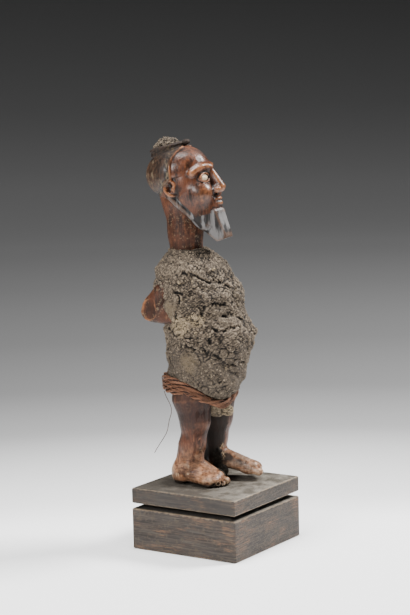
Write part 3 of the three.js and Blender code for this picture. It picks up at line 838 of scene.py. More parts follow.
# %% [markdown]
# ## Where the cord lies
# The cord holds the charge at the hips, so its place comes first. It lies high at the back and both sides,
# where its turns are stacked, and dips to the front and right, where they are bunched. One bell curve of
# the angle round the hips gives both the dip and the bunching. The charge's lower edge follows the cord's
# upper side.

# %% The cord's place
CORD_TURNS = 3
CORD_DIAMETER = 3.3
CORD_STEP = CORD_DIAMETER * 0.95
CORD_BUNCH = 1.1
CORD_HIGH = 54
CORD_DIP = 10
DIP_ANGLE = np.radians(-22)
DIP_WIDTH = np.radians(50)


def cord_dip(angle):
    """A bell curve of the angle, 1 at the middle of the dip and nearly 0 at the back."""
    away = (angle - DIP_ANGLE + np.pi) % (2 * np.pi) - np.pi
    return np.exp(-((away / DIP_WIDTH) ** 2))


def cord_height(angle):
    """The height of the middle of the cord's turns."""
    return CORD_HIGH - CORD_DIP * cord_dip(angle)


def cord_top(angle):
    """The height of the highest turn's upper side: half the stack, the bunch's share and half a diameter."""
    dip = cord_dip(angle)
    half_stack = (1 - dip) * CORD_STEP * (CORD_TURNS - 1) / 2
    return cord_height(angle) + half_stack + dip * CORD_BUNCH + CORD_DIAMETER / 2


def hips_angle(p):
    """The angle round the hips of each point: 0 at the front, a quarter turn at the figure's left."""
    return np.arctan2(p[..., 0] - HIPS_CENTRE[0], HIPS_CENTRE[1] - p[..., 1])

# %% [markdown]
# ## The charge
# The charge was pressed round the body by hand and has dried, shrunk and crumbled. Oval sections from the
# bottom up give its pot-bellied outline, and its lower edge is drawn in behind the cord.

# %% Charge form
CHARGE_TOP = 125.8
CHARGE_SECTIONS = np.array([
    (43, -1, 16.4, 17.6),
    (47, -1.6, 18.6, 20),
    (52, -2, 20, 21.6),
    (58, -3, 20.6, 22.4),
    (65, -3.9, 20.6, 22.4),
    (72, -5.6, 21.4, 23.4),
    (81, -6.4, 22.6, 24.9),
    (87, -4.6, 22.4, 23.8),
    (94, -1, 22.6, 23.6),
    (103, -0.5, 22.8, 24),
    (111, 2.4, 21.4, 20.8),
    (117, 2.8, 19.4, 19),
    (122, 3.8, 14.6, 14.4),
    (126.5, 6, 9.8, 9.6),
])


def charge_field(p):
    """Distance from the ovals, with broad lumps, cut off at the neck and behind the top of the cord."""
    x, y, z = p[..., 0], p[..., 1], p[..., 2]
    table = smooth_path(CHARGE_SECTIONS, 160)
    middle, across, along = (np.interp(z, table[:, 0], table[:, k]) for k in (1, 2, 3))
    broad = np.sin(0.42 * x + 0.31 * z + 1) * np.sin(0.37 * y - 0.29 * z + 2)
    small = np.sin(0.5 * x + 0.71 * z) * np.sin(0.66 * x - 0.58 * y + 1)
    out = (np.hypot(x / across, (y - middle) / along) - 1) * across - 0.6 * broad - 0.35 * small
    top = cord_top(hips_angle(p))
    drawn_in = 1.5 * (1 - step(0, 9, z - top))
    return carve(out + drawn_in, -np.maximum(z - CHARGE_TOP, top - 1 - z), 1.2)

# %% [markdown]
# ## Swellings, cracks and crumbs
# The large features are listed one by one: swellings where a lump was pressed on, and the long cracks that
# opened between lumps as they dried. A swelling is a soft bump about a line. A crack is a narrow trench along
# a chain of lines, whose course wanders because the points are pushed about by noise before it is measured.
# Then come clods, crumbs and grit: cells of three sizes, each cell with a height of its own, so that single
# grains stand out. Where the hand left the earth smooth, a mask takes most of the crumbs away.

# %% Charge surface
SWELLINGS = [
    ((-18.5, -14.7, 102.3), (-8.6, -22.2, 102), 3.4, 1.1),
    ((-17.6, -14.9, 95.4), (-4.9, -23.6, 94.8), 3.6, 1.1),
    ((-15.3, -20.3, 88.9), (-5.4, -27, 88), 3.2, 0.8),
    ((-19.7, -7.9, 108.6), (-8.5, -19.3, 105.8), 3, 0.8),
    ((-12.4, -26.9, 77.9), (-13.4, -26, 75), 9.5, 1.3),
    ((-12.4, -21.4, 57.8), (-6, -24, 57), 9, 0.9),
    ((-20.8, -4, 68.1), (-19.6, 2, 68), 8.4, 0.8),
    ((-22.1, 6.4, 98), (-22.1, 6.4, 93), 5.6, 1),
    ((4, 24, 100), (14, 19, 97), 6, 1),
    ((0, 20, 76), (9, 18, 72), 8, 1),
    ((20, -8, 90), (22, 2, 84), 7, 1),
    ((12, -20, 66), (17, -12, 62), 7, 0.9),
]
CRACKS = [
    [
        *[(-20.4, -1.7, 113.7), (-17.1, -9.3, 113.2), (-13.9, -14.2, 109.6)],
        *[(-8.7, -18.2, 108.7), (-5, -22.2, 106.1), (1.4, -25.2, 102.4)],
    ],
    [(-23, 3.2, 105), (-22.4, -1.7, 103.8), (-21.6, -6.4, 103.4)],
    [(-23.3, -0.4, 102.4), (-22.8, 1.4, 94.7), (-22.4, 2.1, 90.8)],
    [(-20.6, -10, 104.3), (-20.3, -11.4, 100.9), (-19.2, -13.3, 97.1), (-20.2, -12, 93)],
    [(-16.7, 11.3, 85.7), (-20.8, 5, 82.8), (-22, -0.8, 81), (-21.9, -8.3, 80.6), (-20.8, -17, 80.9)],
    [
        *[(-20.8, -17, 80.9), (-20.1, -15.6, 75.5), (-16.8, -18.9, 69.8)],
        *[(-12.3, -21.5, 65), (-7.3, -25.7, 65.6), (1.3, -26.5, 65.8)],
    ],
    [(-18.5, 5.5, 76.4), (-21.4, -3.7, 75.8), (-21.7, -11.4, 74), (-19.6, -16.1, 73.1)],
    [(-19.1, -14.9, 99.4), (-13.6, -19.6, 98.1), (-6.5, -23.6, 98.1)],
    [(-17.9, -15, 93.2), (-14.9, -20.1, 91.9), (-6.2, -24.1, 92)],
    [(-18.8, -18.6, 86), (-15.3, -23.5, 84.2), (-7.1, -27.8, 86.2)],
    [(-16.2, 10.2, 78), (-15, 11.9, 71.6), (-15.4, 10.1, 65.6)],
    [(-14, 16.5, 108), (-4, 23, 104), (7, 22, 105), (16, 16, 101)],
    [(3, 21, 92), (8, 20, 84), (2, 19, 76), (-8, 17, 72)],
    [(22, 4, 98), (23, -6, 93), (19, -16, 91), (10, -24, 88)],
    [(20, 2, 76), (20, -8, 72), (14, -18, 73)],
]
SMOOTH_PLACES = [((-22.1, 6.4, 95.9), 7), ((-20.8, -4, 68.1), 8), ((12, 20, 84), 9), ((20, -10, 80), 8)]
PALE_PLACES = [((-21.6, 0, 86.4), 8), ((-20.4, -9, 90.5), 6), ((-8, -20, 113), 4), ((8, 22, 110), 7)]

# %% [markdown]
# ## Crumbling a surface
# The same steps serve the charge and every smaller lump of earth: they take a smooth grid and give back a
# crumbly one, with its masks for the cracks and the smooth places.

# %% Crumbling
def crack_distance(p):
    """The distance to the nearest crack from points pushed about by noise of two sizes."""
    shaken = p + np.stack([1.1 * noise(p, 4, 91 + k) + 0.5 * noise(p, 1.6, 141 + k) for k in range(3)], -1)
    return np.min([ridge(shaken, points, 0) for points in CRACKS], 0)


def grains(p, size, seed):
    """Round grains: each cell's grain is a dome as high as the cell's own number, and gaps lie between."""
    near, gap, own = cells(p, size, seed)
    return own * np.sqrt(np.clip(1 - (near / 0.75) ** 2, 0, 1)) - 0.5 * (1 - step(0, 0.2, gap - near))


def crumbled(grid, reach=1.0):
    """Swellings and cracks, then clods, then crumbs, each raised along the normals of the grid before it."""
    height = 0
    for a, b, radius, rise in SWELLINGS:
        height = height + rise * np.clip(1 - (limb(grid, a, b, 0, 0) / radius) ** 2, 0, 1) ** 2
    away = crack_distance(grid)
    crack = np.exp(-((away / 0.7) ** 2)) * step(-0.5, 0.4, noise(grid, 4, 97))
    lip = np.exp(-(((away - 1.9) / 1.1) ** 2))
    smooth = spots(grid, SMOOTH_PLACES)
    grid = grid + normals(grid) * (reach * (height - 0.3 - 1.5 * crack + 0.35 * lip))[..., None]
    clods, clod_gap, clod_size = cells(grid, 4.6, 101)
    deep = step(-0.1, 0.5, noise(grid, 9, 104)) * (1 - smooth)
    pit = (1 - step(0.0, 0.2, clod_gap - clods)) * deep
    clod = 0.7 * (clod_size - 0.5) * (1 - step(0.3, 0.8, clods)) - 0.5 * pit
    grid = grid + normals(grid) * (reach * (1 - 0.7 * smooth) * clod)[..., None]
    large = 0.65 * grains(grid, 2.2, 111) * step(-0.6, 0.3, noise(grid, 7, 115))
    crumbs = large + 0.4 * grains(grid, 1.2, 121)
    calm = 1 - 0.65 * np.maximum(smooth, 0.6 * step(80, 68, grid[..., 2]))
    grid = grid + normals(grid) * (reach * calm * (crumbs - 0.15))[..., None]
    return grid, np.maximum(crack, 0.6 * pit), smooth


charge_low, charge_high = (0, -1, 58), (0, 4, 112)
charge_rays = wrap_straight(charge_field, charge_low, charge_high, rings=290, columns=310, reach=40, fan=0.2)
charge_skin, charge_cracks, charge_smooth = crumbled(charge_rays)
charge = piece("charge_mass", [charge_skin], "earth")
paint(charge, "relief", [relief(charge_skin, 2)])
paint(charge, "crack", [charge_cracks])
paint(charge, "smooth", [charge_smooth])
paint(charge, "pale", [spots(charge_skin, PALE_PLACES)])
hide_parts("charge")

# %% [markdown]
# ## The lump between the thighs
# Under the cord, some of the mass has squeezed out and hangs between the thighs, with a paler chunk at its
# front.

# %% Lumps under the cord
LUMPS = [((0.5, -9.5, 42), (8, 7.2, 7.2)), ((0, -15.8, 38.8), (3.6, 3.4, 3.4))]
lump_grids = [dome(centre, radii, 80, 110) for centre, radii in LUMPS]
lump_skins, lump_cracks, _ = zip(*[crumbled(grid, 0.8) for grid in lump_grids])
charge_lump = piece("charge_lump", lump_skins, "earth")
paint(charge_lump, "relief", [relief(grid, 2) for grid in lump_skins])
paint(charge_lump, "crack", lump_cracks)
paint(charge_lump, "pale", [np.full(grid.shape[:2], share) for grid, share in zip(lump_grids, (0.35, 0.9))])

# %% [markdown]
# ## Grit
# Small stones and lumps are stuck in the mass, a few of them bright. Each is a tiny bumpy ball of a few dozen
# faces, set on a point of the skin that the scrambled numbers pick. Dark crust also clings to the inner sides
# of the feet, and its darkness there is partly painted shade.

# %% Grit
GRIT_COUNT = 260
GRIT_FREE_ROWS = 20
BRIGHT_RADIUS = 0.95
BRIGHT_STONES = [(-22.1, -0.2, 109.7), (-10.1, -14.6, 115.9), (-22.9, -9.7, 83.5), (-12.1, -21.4, 63.9)]


def stone(centre, radius, seed):
    """A ball that noise has made uneven."""
    ball = dome((0, 0, 0), (1, 1, 1), 7, 8)
    uneven = 1 + 0.3 * noise(ball + 9.7 * seed, 0.9, 171)
    return np.array(centre) + radius * ball * uneven[..., None]


picks = np.stack([np.arange(GRIT_COUNT), np.zeros(GRIT_COUNT, int), np.zeros(GRIT_COUNT, int)], -1)
rows_used = len(charge_skin) - 2 * GRIT_FREE_ROWS
pick_row = (GRIT_FREE_ROWS + scrambled(picks, 181) * rows_used).astype(int)
pick_column = (scrambled(picks, 182) * charge_skin.shape[1]).astype(int)
stone_radii = 0.3 + 0.45 * scrambled(picks, 183) ** 3
picked = zip(pick_row, pick_column, stone_radii)
stones = [stone(charge_skin[r, c], size, n) for n, (r, c, size) in enumerate(picked)]
bright = [stone(place, BRIGHT_RADIUS, 500 + n) for n, place in enumerate(BRIGHT_STONES)]
grit = piece("charge_grit", stones + bright, "earth")
stone_shades = np.concatenate([0.8 * scrambled(picks, 184) ** 4, np.ones(len(bright))])
paint(grit, "pale", [np.full(grid.shape[:2], shade) for grid, shade in zip(stones + bright, stone_shades)])

crust_skins, crust_cracks, _ = zip(*[crumbled(dome(c, r, 48, 64), 0.45) for c, r in INNER_CRUST])
foot_crust = piece("foot_crust", crust_skins, "earth")
paint(foot_crust, "relief", [relief(grid, 2) for grid in crust_skins])
# The whole crust is painted dark: the crust's own colour and painted shade on the feet's inner sides.
paint(foot_crust, "crack", [0.55 + 0.45 * cracks for cracks in crust_cracks])

# %% [markdown]
# ## The cord round the hips
# The cord is wound round the hips several times. Each turn is three yarns laid round each other with a long
# lay, so that they run nearly side by side, and each yarn is a sheaf of fibres: its section isn't round but
# ribbed, and the ribs wind along it. The yarns are offset from the turn's path by a circle that turns
# slowly as they go. A few single threads have come loose and wander over the yarns.

# %% Cord
YARNS = 3
YARN_LAY = 5
YARN_THICKNESS = 1.48
FIBRE_RIBS = 4
FIBRE_LAY = 46
THREADS = 7
THREAD_RADIUS = 0.16


def cord_turn(k, angle):
    """The middle line of one turn of the cord, by the angle round the hips."""
    dip = cord_dip(angle)
    place = 2 * np.pi * k / CORD_TURNS + 0.6
    radius = HIPS_RADIUS + dip * CORD_BUNCH * np.cos(place)
    stack = (k - (CORD_TURNS - 1) / 2) * CORD_STEP
    height = cord_height(angle) + (1 - dip) * stack + dip * CORD_BUNCH * np.sin(place)
    x, y = HIPS_CENTRE[0] + radius * np.sin(angle), HIPS_CENTRE[1] - radius * np.cos(angle)
    return np.stack([x, y, height], -1)


def tube(line, out, radius, columns):
    """A closed tube about a closed line, with out as its section's first axis and a radius for each point."""
    tangent = np.roll(line, -1, 0) - np.roll(line, 1, 0)
    tangent /= np.linalg.norm(tangent, axis=-1, keepdims=True)
    up = np.cross(out, tangent)
    turn = np.linspace(0, 2 * np.pi, columns, endpoint=False)
    around = np.cos(turn)[None, :, None] * out[:, None] + np.sin(turn)[None, :, None] * up[:, None]
    return (line[:, None] + around * radius[..., None])[::-1]


def yarn(k, phase, steps=400, columns=16):
    """A ribbed tube about a line that winds round one turn of the cord, and how far each of its points stands
    out of the gaps between the yarns."""
    angle = np.linspace(0, 2 * np.pi, steps, endpoint=False)
    out = np.stack([np.sin(angle), -np.cos(angle), np.zeros(steps)], -1)
    wander = 0.35 * noise(cord_turn(k, angle) + 40 * phase, 7, 151)
    lay = YARN_LAY * angle + phase + 1.3 * k + wander
    offset = CORD_DIAMETER / 2 - YARN_THICKNESS / 2
    line = cord_turn(k, angle) + offset * (np.cos(lay)[:, None] * out + np.sin(lay)[:, None] * (0, 0, 1))
    turn = np.linspace(0, 2 * np.pi, columns, endpoint=False)
    ribs = np.abs(np.sin((turn[None] * FIBRE_RIBS + FIBRE_LAY * angle[:, None]) / 2))
    thick = YARN_THICKNESS / 2 * (0.86 + 0.2 * ribs + 0.14 * noise(line + 9 * phase, 2.6, 131 + k)[:, None])
    skin = tube(line, out, thick, columns)
    depth = np.linalg.norm(skin - cord_turn(k, angle)[::-1, None], axis=-1)
    return skin, depth - 0.38 * CORD_DIAMETER + 0.25 * (ribs[::-1] - 0.6)


def thread(j, steps=350, columns=4):
    """A thin thread that wanders up and down over the turns, just outside the yarns."""
    angle = np.linspace(0, 2 * np.pi, steps, endpoint=False)
    out = np.stack([np.sin(angle), -np.cos(angle), np.zeros(steps)], -1)
    turns = [cord_turn(k, angle) for k in range(CORD_TURNS)]
    share = 0.5 + 0.5 * np.sin(2 * angle + 0.9 * j + 0.8 * np.sin(3 * angle + 2.1 * j))
    line = turns[0] + share[:, None] * (turns[-1] - turns[0])
    away = CORD_DIAMETER / 2 + 0.35 * noise(line + 17 * j, 3, 161)
    line = line + out * away[:, None]
    line[:, 2] += 0.8 * noise(line + 31 * j, 4, 163)
    return tube(line, out, np.full((steps, columns), THREAD_RADIUS), columns)


phases = 2 * np.pi * np.arange(YARNS) / YARNS
yarns, yarn_reliefs = zip(*[yarn(k, phase) for k in range(CORD_TURNS) for phase in phases])
threads = [thread(j) for j in range(THREADS)]
thread_reliefs = [np.full(grid.shape[:2], 0.2) for grid in threads]
hip_cord = piece("hip_cord_yarns", [*yarns, *threads], "fibre", closed=True)
paint(hip_cord, "relief", [*yarn_reliefs, *thread_reliefs], closed=True)
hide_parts("hip_cord")

# %% [markdown]
# ## The plinth
# The plinth is a block with a groove all round under a thin slab, made of wood that was brushed and
# stained. Its skin is a profile of insets and heights carried round a square with slightly rounded corners.
# The edges have small chamfers.

# %% Plinth
def rounded_square(half, corner, columns_a_side):
    """A square with round corners, walked from the left end of its front side: a straight run and a quarter
    circle, then the same turned by a right angle three times."""
    straight = np.linspace(corner - half, half - corner, columns_a_side)
    arc = np.linspace(0, np.pi / 2, 6)[1:-1]
    side = np.stack([straight, np.full(columns_a_side, -half)], -1)
    bend = np.stack([half - corner + corner * np.sin(arc), corner - half - corner * np.cos(arc)], -1)
    quarter = np.vstack([side, bend])
    return np.vstack([quarter @ about_z(k * np.pi / 2)[:2, :2].T for k in range(4)])


EDGE = 0.45
half_side, core = PLINTH_SIDE / 2, PLINTH_SIDE / 2 - PLINTH_GROOVE_DEPTH
slab_low = PLINTH_BLOCK + PLINTH_GROOVE
profile = [(0.02, 0), (half_side - EDGE, 0), (half_side, EDGE)]
profile += [(half_side, z) for z in np.linspace(EDGE + 0.4, PLINTH_BLOCK - EDGE - 0.4, 24)]
profile += [(half_side, PLINTH_BLOCK - EDGE), (half_side - EDGE, PLINTH_BLOCK), (core, PLINTH_BLOCK)]
profile += [(core, slab_low), (half_side - EDGE, slab_low), (half_side, slab_low + EDGE)]
profile += [(half_side, z) for z in np.linspace(slab_low + EDGE + 0.4, PLINTH_HEIGHT - EDGE - 0.4, 10)]
profile += [(half_side, PLINTH_HEIGHT - EDGE), (half_side - EDGE, PLINTH_HEIGHT)]
profile += [(r, PLINTH_HEIGHT) for r in np.linspace(half_side - 1.2, 0.02, 30)]
outline = rounded_square(1, 0.018, 70)
plinth_grid = np.array([[(r * x, r * y, z) for x, y in outline] for r, z in profile])
plinth = piece("plinth_wood", [plinth_grid], "stained_wood", place=lambda p: p * MM)
paint(plinth, "relief", [relief(plinth_grid, 1)])
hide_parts("plinth")

# %% [markdown]
# ## Helpers for materials
# A material is a graph of nodes. Two small functions keep the graphs short to write: one adds a node and
# fills its inputs by name, with a number or with a link from another node, and one makes a node group with
# named sockets. An effect that several materials share is such a group, and each material gives it its own
# values.

# %% Node helpers
def add(tree, kind, inputs=None, **settings):
    """Adds a node. Inputs are given by name or number, each a value or the socket that feeds it."""
    made = tree.nodes.new("ShaderNode" + kind)
    for name, value in settings.items():
        setattr(made, name, value)
    for name, value in (inputs or {}).items():
        if isinstance(value, bpy.types.NodeSocket):
            tree.links.new(value, made.inputs[name])
        else:
            made.inputs[name].default_value = value
    return made


def group(name, sockets_in, sockets_out):
    """A new node group with its own input and output nodes. Sockets are pairs of a name and a kind."""
    tree = bpy.data.node_groups.new(name, "ShaderNodeTree")
    for in_out, sockets in (("INPUT", sockets_in), ("OUTPUT", sockets_out)):
        for socket_name, kind in sockets:
            tree.interface.new_socket(socket_name, in_out=in_out, socket_type="NodeSocket" + kind)
    return tree, tree.nodes.new("NodeGroupInput").outputs, tree.nodes.new("NodeGroupOutput").inputs


def use(tree, node_group, inputs):
    """Places a group in a tree and returns its outputs."""
    return add(tree, "Group", inputs, node_tree=node_group).outputs


def math(tree, operation, *values, clamp=False):
    """One step of arithmetic on one to three values."""
    return add(tree, "Math", dict(enumerate(values)), operation=operation, use_clamp=clamp).outputs[0]


def blend(tree, share, a, b):
    """Colour a, going over to colour b as the share goes from 0 to 1."""
    made = add(tree, "Mix", data_type="RGBA")
    for socket, value in zip((made.inputs[0], made.inputs[6], made.inputs[7]), (share, a, b)):
        if isinstance(value, bpy.types.NodeSocket):
            tree.links.new(value, socket)
        elif socket == made.inputs[0]:
            socket.default_value = value
        else:
            socket.default_value = (*value, 1)
    return made.outputs[2]


def scaled(tree, value, factor, shift):
    """The value times the factor, plus the shift."""
    return math(tree, "MULTIPLY_ADD", value, factor, shift)

# %% [markdown]
# ## Shorthands for masks and colours
# A mask is a number from 0 to 1 that says how much of a finish shows. The next functions read one from a
# vertex attribute, make one with soft edges, multiply several, and lay one colour over another by it. The
# last ones place a pattern in millimetres and feed the material's shader.

# %% Masks and colours
def attribute(tree, name):
    """The number that was stored at each vertex under this name, or 0 where there is none."""
    return add(tree, "Attribute", attribute_name=name).outputs["Fac"]


def ramp(tree, value, low, high):
    """0 at low and 1 at high, in between by a smooth step."""
    inputs = {"Value": value, "From Min": low, "From Max": high}
    return add(tree, "MapRange", inputs, interpolation_type="SMOOTHSTEP").outputs[0]


def times(tree, *values):
    """All the values multiplied."""
    product = values[0]
    for value in values[1:]:
        product = math(tree, "MULTIPLY", product, value)
    return product


def over(tree, under, colour, *shares):
    """A colour laid over the one under it, by a share that is all the given values multiplied."""
    return blend(tree, times(tree, *shares), under, colour)


def shades(tree, value, stops):
    """A colour for each value from 0 to 1, from pairs of a place and a colour."""
    made = add(tree, "ValToRGB", {"Fac": value})
    ends = made.color_ramp.elements
    between = [ends.new(place) for place, _ in stops[1:-1]]
    for stop, (place, colour) in zip([ends[0], *between, ends[-1]], stops):
        stop.position = place
        stop.color = (*colour, 1)
    return made.outputs[0]


def millimetres(tree, stretch=(1, 1, 1)):
    """Object coordinates in millimetres. A stretch below 1 draws a pattern out along that axis."""
    place = add(tree, "TexCoord").outputs["Object"]
    scale = tuple(s / MM for s in stretch)
    return add(tree, "Mapping", {"Vector": place, "Scale": scale}).outputs[0]


def finish(tree, colour, roughness, height, bump, coat=None, specular=None):
    """Feeds the material's own Principled BSDF. Its normal comes from a height in mm."""
    shader = tree.nodes["Principled BSDF"]
    tree.links.new(colour, shader.inputs["Base Color"])
    tree.links.new(roughness, shader.inputs["Roughness"])
    if coat is not None:
        tree.links.new(coat, shader.inputs["Coat Weight"])
    if specular is not None:
        shader.inputs["Specular IOR Level"].default_value = specular
    bumped = add(tree, "Bump", {"Strength": bump, "Distance": MM, "Height": height})
    tree.links.new(bumped.outputs[0], shader.inputs["Normal"])
    return shader


def material(name):
    """A new material and its tree."""
    made = bpy.data.materials.new(name)
    made.use_nodes = True
    return made, made.node_tree

# %% [markdown]
# ## Effects that materials share
# Three groups serve all the materials. Patches are soft-edged areas of noise: mottling, stains, and, when
# they are drawn out along an axis, wood grain. Specks are the cells of a scatter of points, each with a shade
# of its own: grains of earth, chips, dust. Wear turns the relief that we stored at each vertex into two
# masks, places that stand proud and hollows, and noise breaks up both edges. The carved wood takes them as
# rubbed places and dirt, and the eyes take their hollows as dirt. The earth, the cord and the plinth darken
# their hollows as painted shade, and the plinth's pale proud edges are partly a painted highlight.

# %% Shared node groups
patches, i, o = group(
    "patches",
    [("Vector", "Vector"), ("Size", "Float"), ("Low", "Float"), ("High", "Float")],
    [("Mask", "Float"), ("Noise", "Float")],
)
scale = math(patches, "DIVIDE", 1.0, i["Size"])
fog_inputs = {"Vector": i["Vector"], "Scale": scale, "Detail": 4.0, "Roughness": 0.6}
fog = add(patches, "TexNoise", fog_inputs).outputs[0]
patches.links.new(ramp(patches, fog, i["Low"], i["High"]), o["Mask"])
patches.links.new(fog, o["Noise"])

specks, i, o = group(
    "specks",
    [("Vector", "Vector"), ("Size", "Float"), ("Share", "Float")],
    [("Mask", "Float"), ("Shade", "Float"), ("Height", "Float")],
)
scale = math(specks, "DIVIDE", 1.0, i["Size"])
fog = add(specks, "TexNoise", {"Vector": i["Vector"], "Scale": times(specks, scale, 1.3)}).outputs[1]
push = add(specks, "VectorMath", {0: fog, 3: times(specks, i["Size"], 0.9)}, operation="SCALE").outputs[0]
shaken = add(specks, "VectorMath", {0: i["Vector"], 1: push}, operation="ADD").outputs[0]
scatter = add(specks, "TexVoronoi", {"Vector": shaken, "Scale": scale})
own = add(specks, "SeparateColor", {0: scatter.outputs["Color"]})
chosen = math(specks, "LESS_THAN", own.outputs[0], i["Share"])
round_top = math(specks, "MULTIPLY_ADD", scatter.outputs["Distance"], -1.25, 1.0, clamp=True)
specks.links.new(times(specks, chosen, ramp(specks, round_top, 0.2, 0.45)), o["Mask"])
specks.links.new(own.outputs[1], o["Shade"])
specks.links.new(times(specks, round_top, chosen), o["Height"])

wear, i, o = group(
    "wear",
    [("Vector", "Vector"), ("Relief", "Float"), ("Reach", "Float"), ("Break-up", "Float")],
    [("Proud", "Float"), ("Hollow", "Float")],
)
fog = add(wear, "TexNoise", {"Vector": i["Vector"], "Scale": 0.6, "Detail": 3.0}).outputs[0]
shift = times(wear, math(wear, "SUBTRACT", fog, 0.5), i["Break-up"])
share = math(wear, "DIVIDE", i["Relief"], i["Reach"])
for sign, name in ((1.0, "Proud"), (-1.0, "Hollow")):
    level = scaled(wear, share, sign, shift)
    wear.links.new(ramp(wear, level, 0.15, 1.0), o[name])


def patchy(tree, place, size, low, high):
    """Patches of about this size in mm, whose mask is 0 where the noise is low and 1 where it is high."""
    return use(tree, patches, {"Vector": place, "Size": size, "Low": low, "High": high})


def weathered(tree, place, reach, break_up):
    """Wear from the stored relief, full where it stands reach mm out or in."""
    values = {"Relief": attribute(tree, "relief"), "Reach": reach, "Break-up": break_up}
    return use(tree, wear, {"Vector": place, **values})


print("groups:", [made.name for made in bpy.data.node_groups])

# %% [markdown]
# ## The carved wood
# Long handling has given the wood a dark, glossy patina, and worn it to orange-brown on the edges and the
# lower legs. The hair was blackened, and pale dirt has stayed in it. The beard is blackened too, but
# polished, with a painted sheen in pale grey patches. The inner sides of the legs are darkened by dirt and by
# painted shade. One material does all of this, because it is one piece of wood, and the attributes for hair,
# beard, dirt with painted shade, and chips say where each finish goes.

# %% Carved wood
wood, tree = material("carved_wood")
plain = millimetres(tree)
across, _, heights = add(tree, "SeparateXYZ", {0: plain}).outputs
foot_share = ramp(tree, heights, 58.0, 40.0)
upright, lengthways = millimetres(tree, (1, 1, 0.13)), millimetres(tree, (1, 0.13, 1))
mottle = patchy(tree, plain, 9.0, 0.38, 0.62)
turn = math(tree, "LESS_THAN", scaled(tree, mottle["Noise"], 30.0, heights), 62.0)
grain_place = add(tree, "Mix", {0: turn, 4: upright, 5: lengthways}, data_type="VECTOR").outputs[1]
worn = weathered(tree, plain, 0.28, 1.1)
black = patchy(tree, millimetres(tree, (1, 1, 0.5)), 3.6, 0.48, 0.7)
fibre_lines = patchy(tree, grain_place, 0.9, 0.4, 0.66)
fine_lines = patchy(tree, grain_place, 0.4, 0.3, 0.7)
dust = use(tree, specks, {"Vector": plain, "Size": 0.9, "Share": 0.3})

neck_share = times(tree, ramp(tree, heights, 186.0, 172.0), ramp(tree, heights, 60.0, 120.0))
thigh_share = times(tree, ramp(tree, heights, 50.0, 76.0), ramp(tree, heights, 130.0, 100.0))
colour = blend(tree, mottle["Mask"], (0.021, 0.0075, 0.0042), (0.086, 0.0275, 0.012))
colour = over(tree, colour, (0.14, 0.047, 0.02), fibre_lines["Mask"], 0.45)
colour = over(tree, colour, (0.02, 0.009, 0.007), thigh_share, 0.85)
colour = over(tree, colour, (0.016, 0.0068, 0.0042), neck_share, 0.5)
foot_patches = patchy(tree, plain, 3.2, 0.44, 0.56)
foot_colour = blend(tree, fibre_lines["Mask"], (0.1, 0.036, 0.016), (0.36, 0.165, 0.08))
foot_colour = over(tree, foot_colour, (0.56, 0.3, 0.165), foot_patches["Mask"], 0.35)
foot_dust = patchy(tree, lengthways, 2.6, 0.44, 0.62)
dusty_side = scaled(tree, ramp(tree, across, -3.0, 4.0), 0.4, 0.1)
foot_colour = over(tree, foot_colour, (0.33, 0.27, 0.215), foot_dust["Mask"], dusty_side)
colour = over(tree, colour, foot_colour, foot_share, mottle["Noise"], 1.7)
foot_lines = times(tree, foot_share, fine_lines["Mask"], ramp(tree, mottle["Noise"], 0.6, 0.4))
colour = over(tree, colour, (0.05, 0.021, 0.011), foot_lines, 0.6)
rubbed = blend(tree, foot_share, (0.26, 0.105, 0.045), (0.62, 0.42, 0.27))
rubbed_share = scaled(tree, thigh_share, -0.5, 0.7)
rubbed_share = times(tree, worn["Proud"], scaled(tree, foot_share, -0.2, rubbed_share))
colour = blend(tree, rubbed_share, colour, rubbed)
dark_share = times(tree, black["Mask"], scaled(tree, ramp(tree, heights, 80.0, 120.0), 0.25, 0.6))
colour = blend(tree, dark_share, colour, (0.011, 0.0062, 0.0045))
beige_share = times(tree, neck_share, dust["Mask"], ramp(tree, black["Noise"], 0.42, 0.6), 0.55)
colour = blend(tree, beige_share, colour, (0.17, 0.12, 0.07))
low_edge = scaled(tree, mottle["Noise"], -5.0, heights)
colour = over(tree, colour, (0.022, 0.011, 0.007), ramp(tree, low_edge, 34.6, 31.6), 0.75)
shin_share = times(tree, ramp(tree, heights, 40.0, 50.0), ramp(tree, heights, 90.0, 72.0))
dirty_share = times(tree, worn["Hollow"], scaled(tree, shin_share, -0.55, 0.85))
colour = blend(tree, dirty_share, colour, (0.007, 0.0045, 0.0035))
# Dirt, and painted shade between the legs, on the inner sides of the shins and along the soles.
colour = over(tree, colour, (0.014, 0.0105, 0.0085), attribute(tree, "grime_and_shade"), 0.9)
flakes = patchy(tree, millimetres(tree, (1, 1, 0.5)), 0.9, 0.49, 0.55)
chip = times(tree, attribute(tree, "chips"), flakes["Mask"])
colour = blend(tree, chip, colour, (0.45, 0.32, 0.2))

# %% [markdown]
# ## The hair, the beard and the gloss
# The hair is matt with pale dirt in it and the beard is polished, with pale grey patches of painted sheen.
# Roughness starts from the grain and rises with dirt, chips and the dark inner sides of the legs. A thin
# lacquer lies on the head, but not on its crest.

# %% Hair, beard and gloss
hair = attribute(tree, "hair")
dirt = patchy(tree, millimetres(tree, (1, 1, 0.45)), 1.5, 0.48, 0.62)
dirt_area = patchy(tree, plain, 8.0, 0.42, 0.58)
dirt_share = times(tree, hair, dirt["Mask"], dirt_area["Mask"])
hair_colour = blend(tree, fibre_lines["Mask"], (0.009, 0.006, 0.0048), (0.04, 0.022, 0.014))
hair_colour = over(tree, hair_colour, (0.17, 0.13, 0.08), dirt_share, 0.6)
hair_colour = over(tree, hair_colour, (0.1, 0.045, 0.022), worn["Proud"], 0.4)
crest_share = ramp(tree, heights, 207.0, 211.0)
hair_colour = over(tree, hair_colour, (0.02, 0.014, 0.011), crest_share, 0.5)
colour = blend(tree, hair, colour, hair_colour)
beard = attribute(tree, "beard")
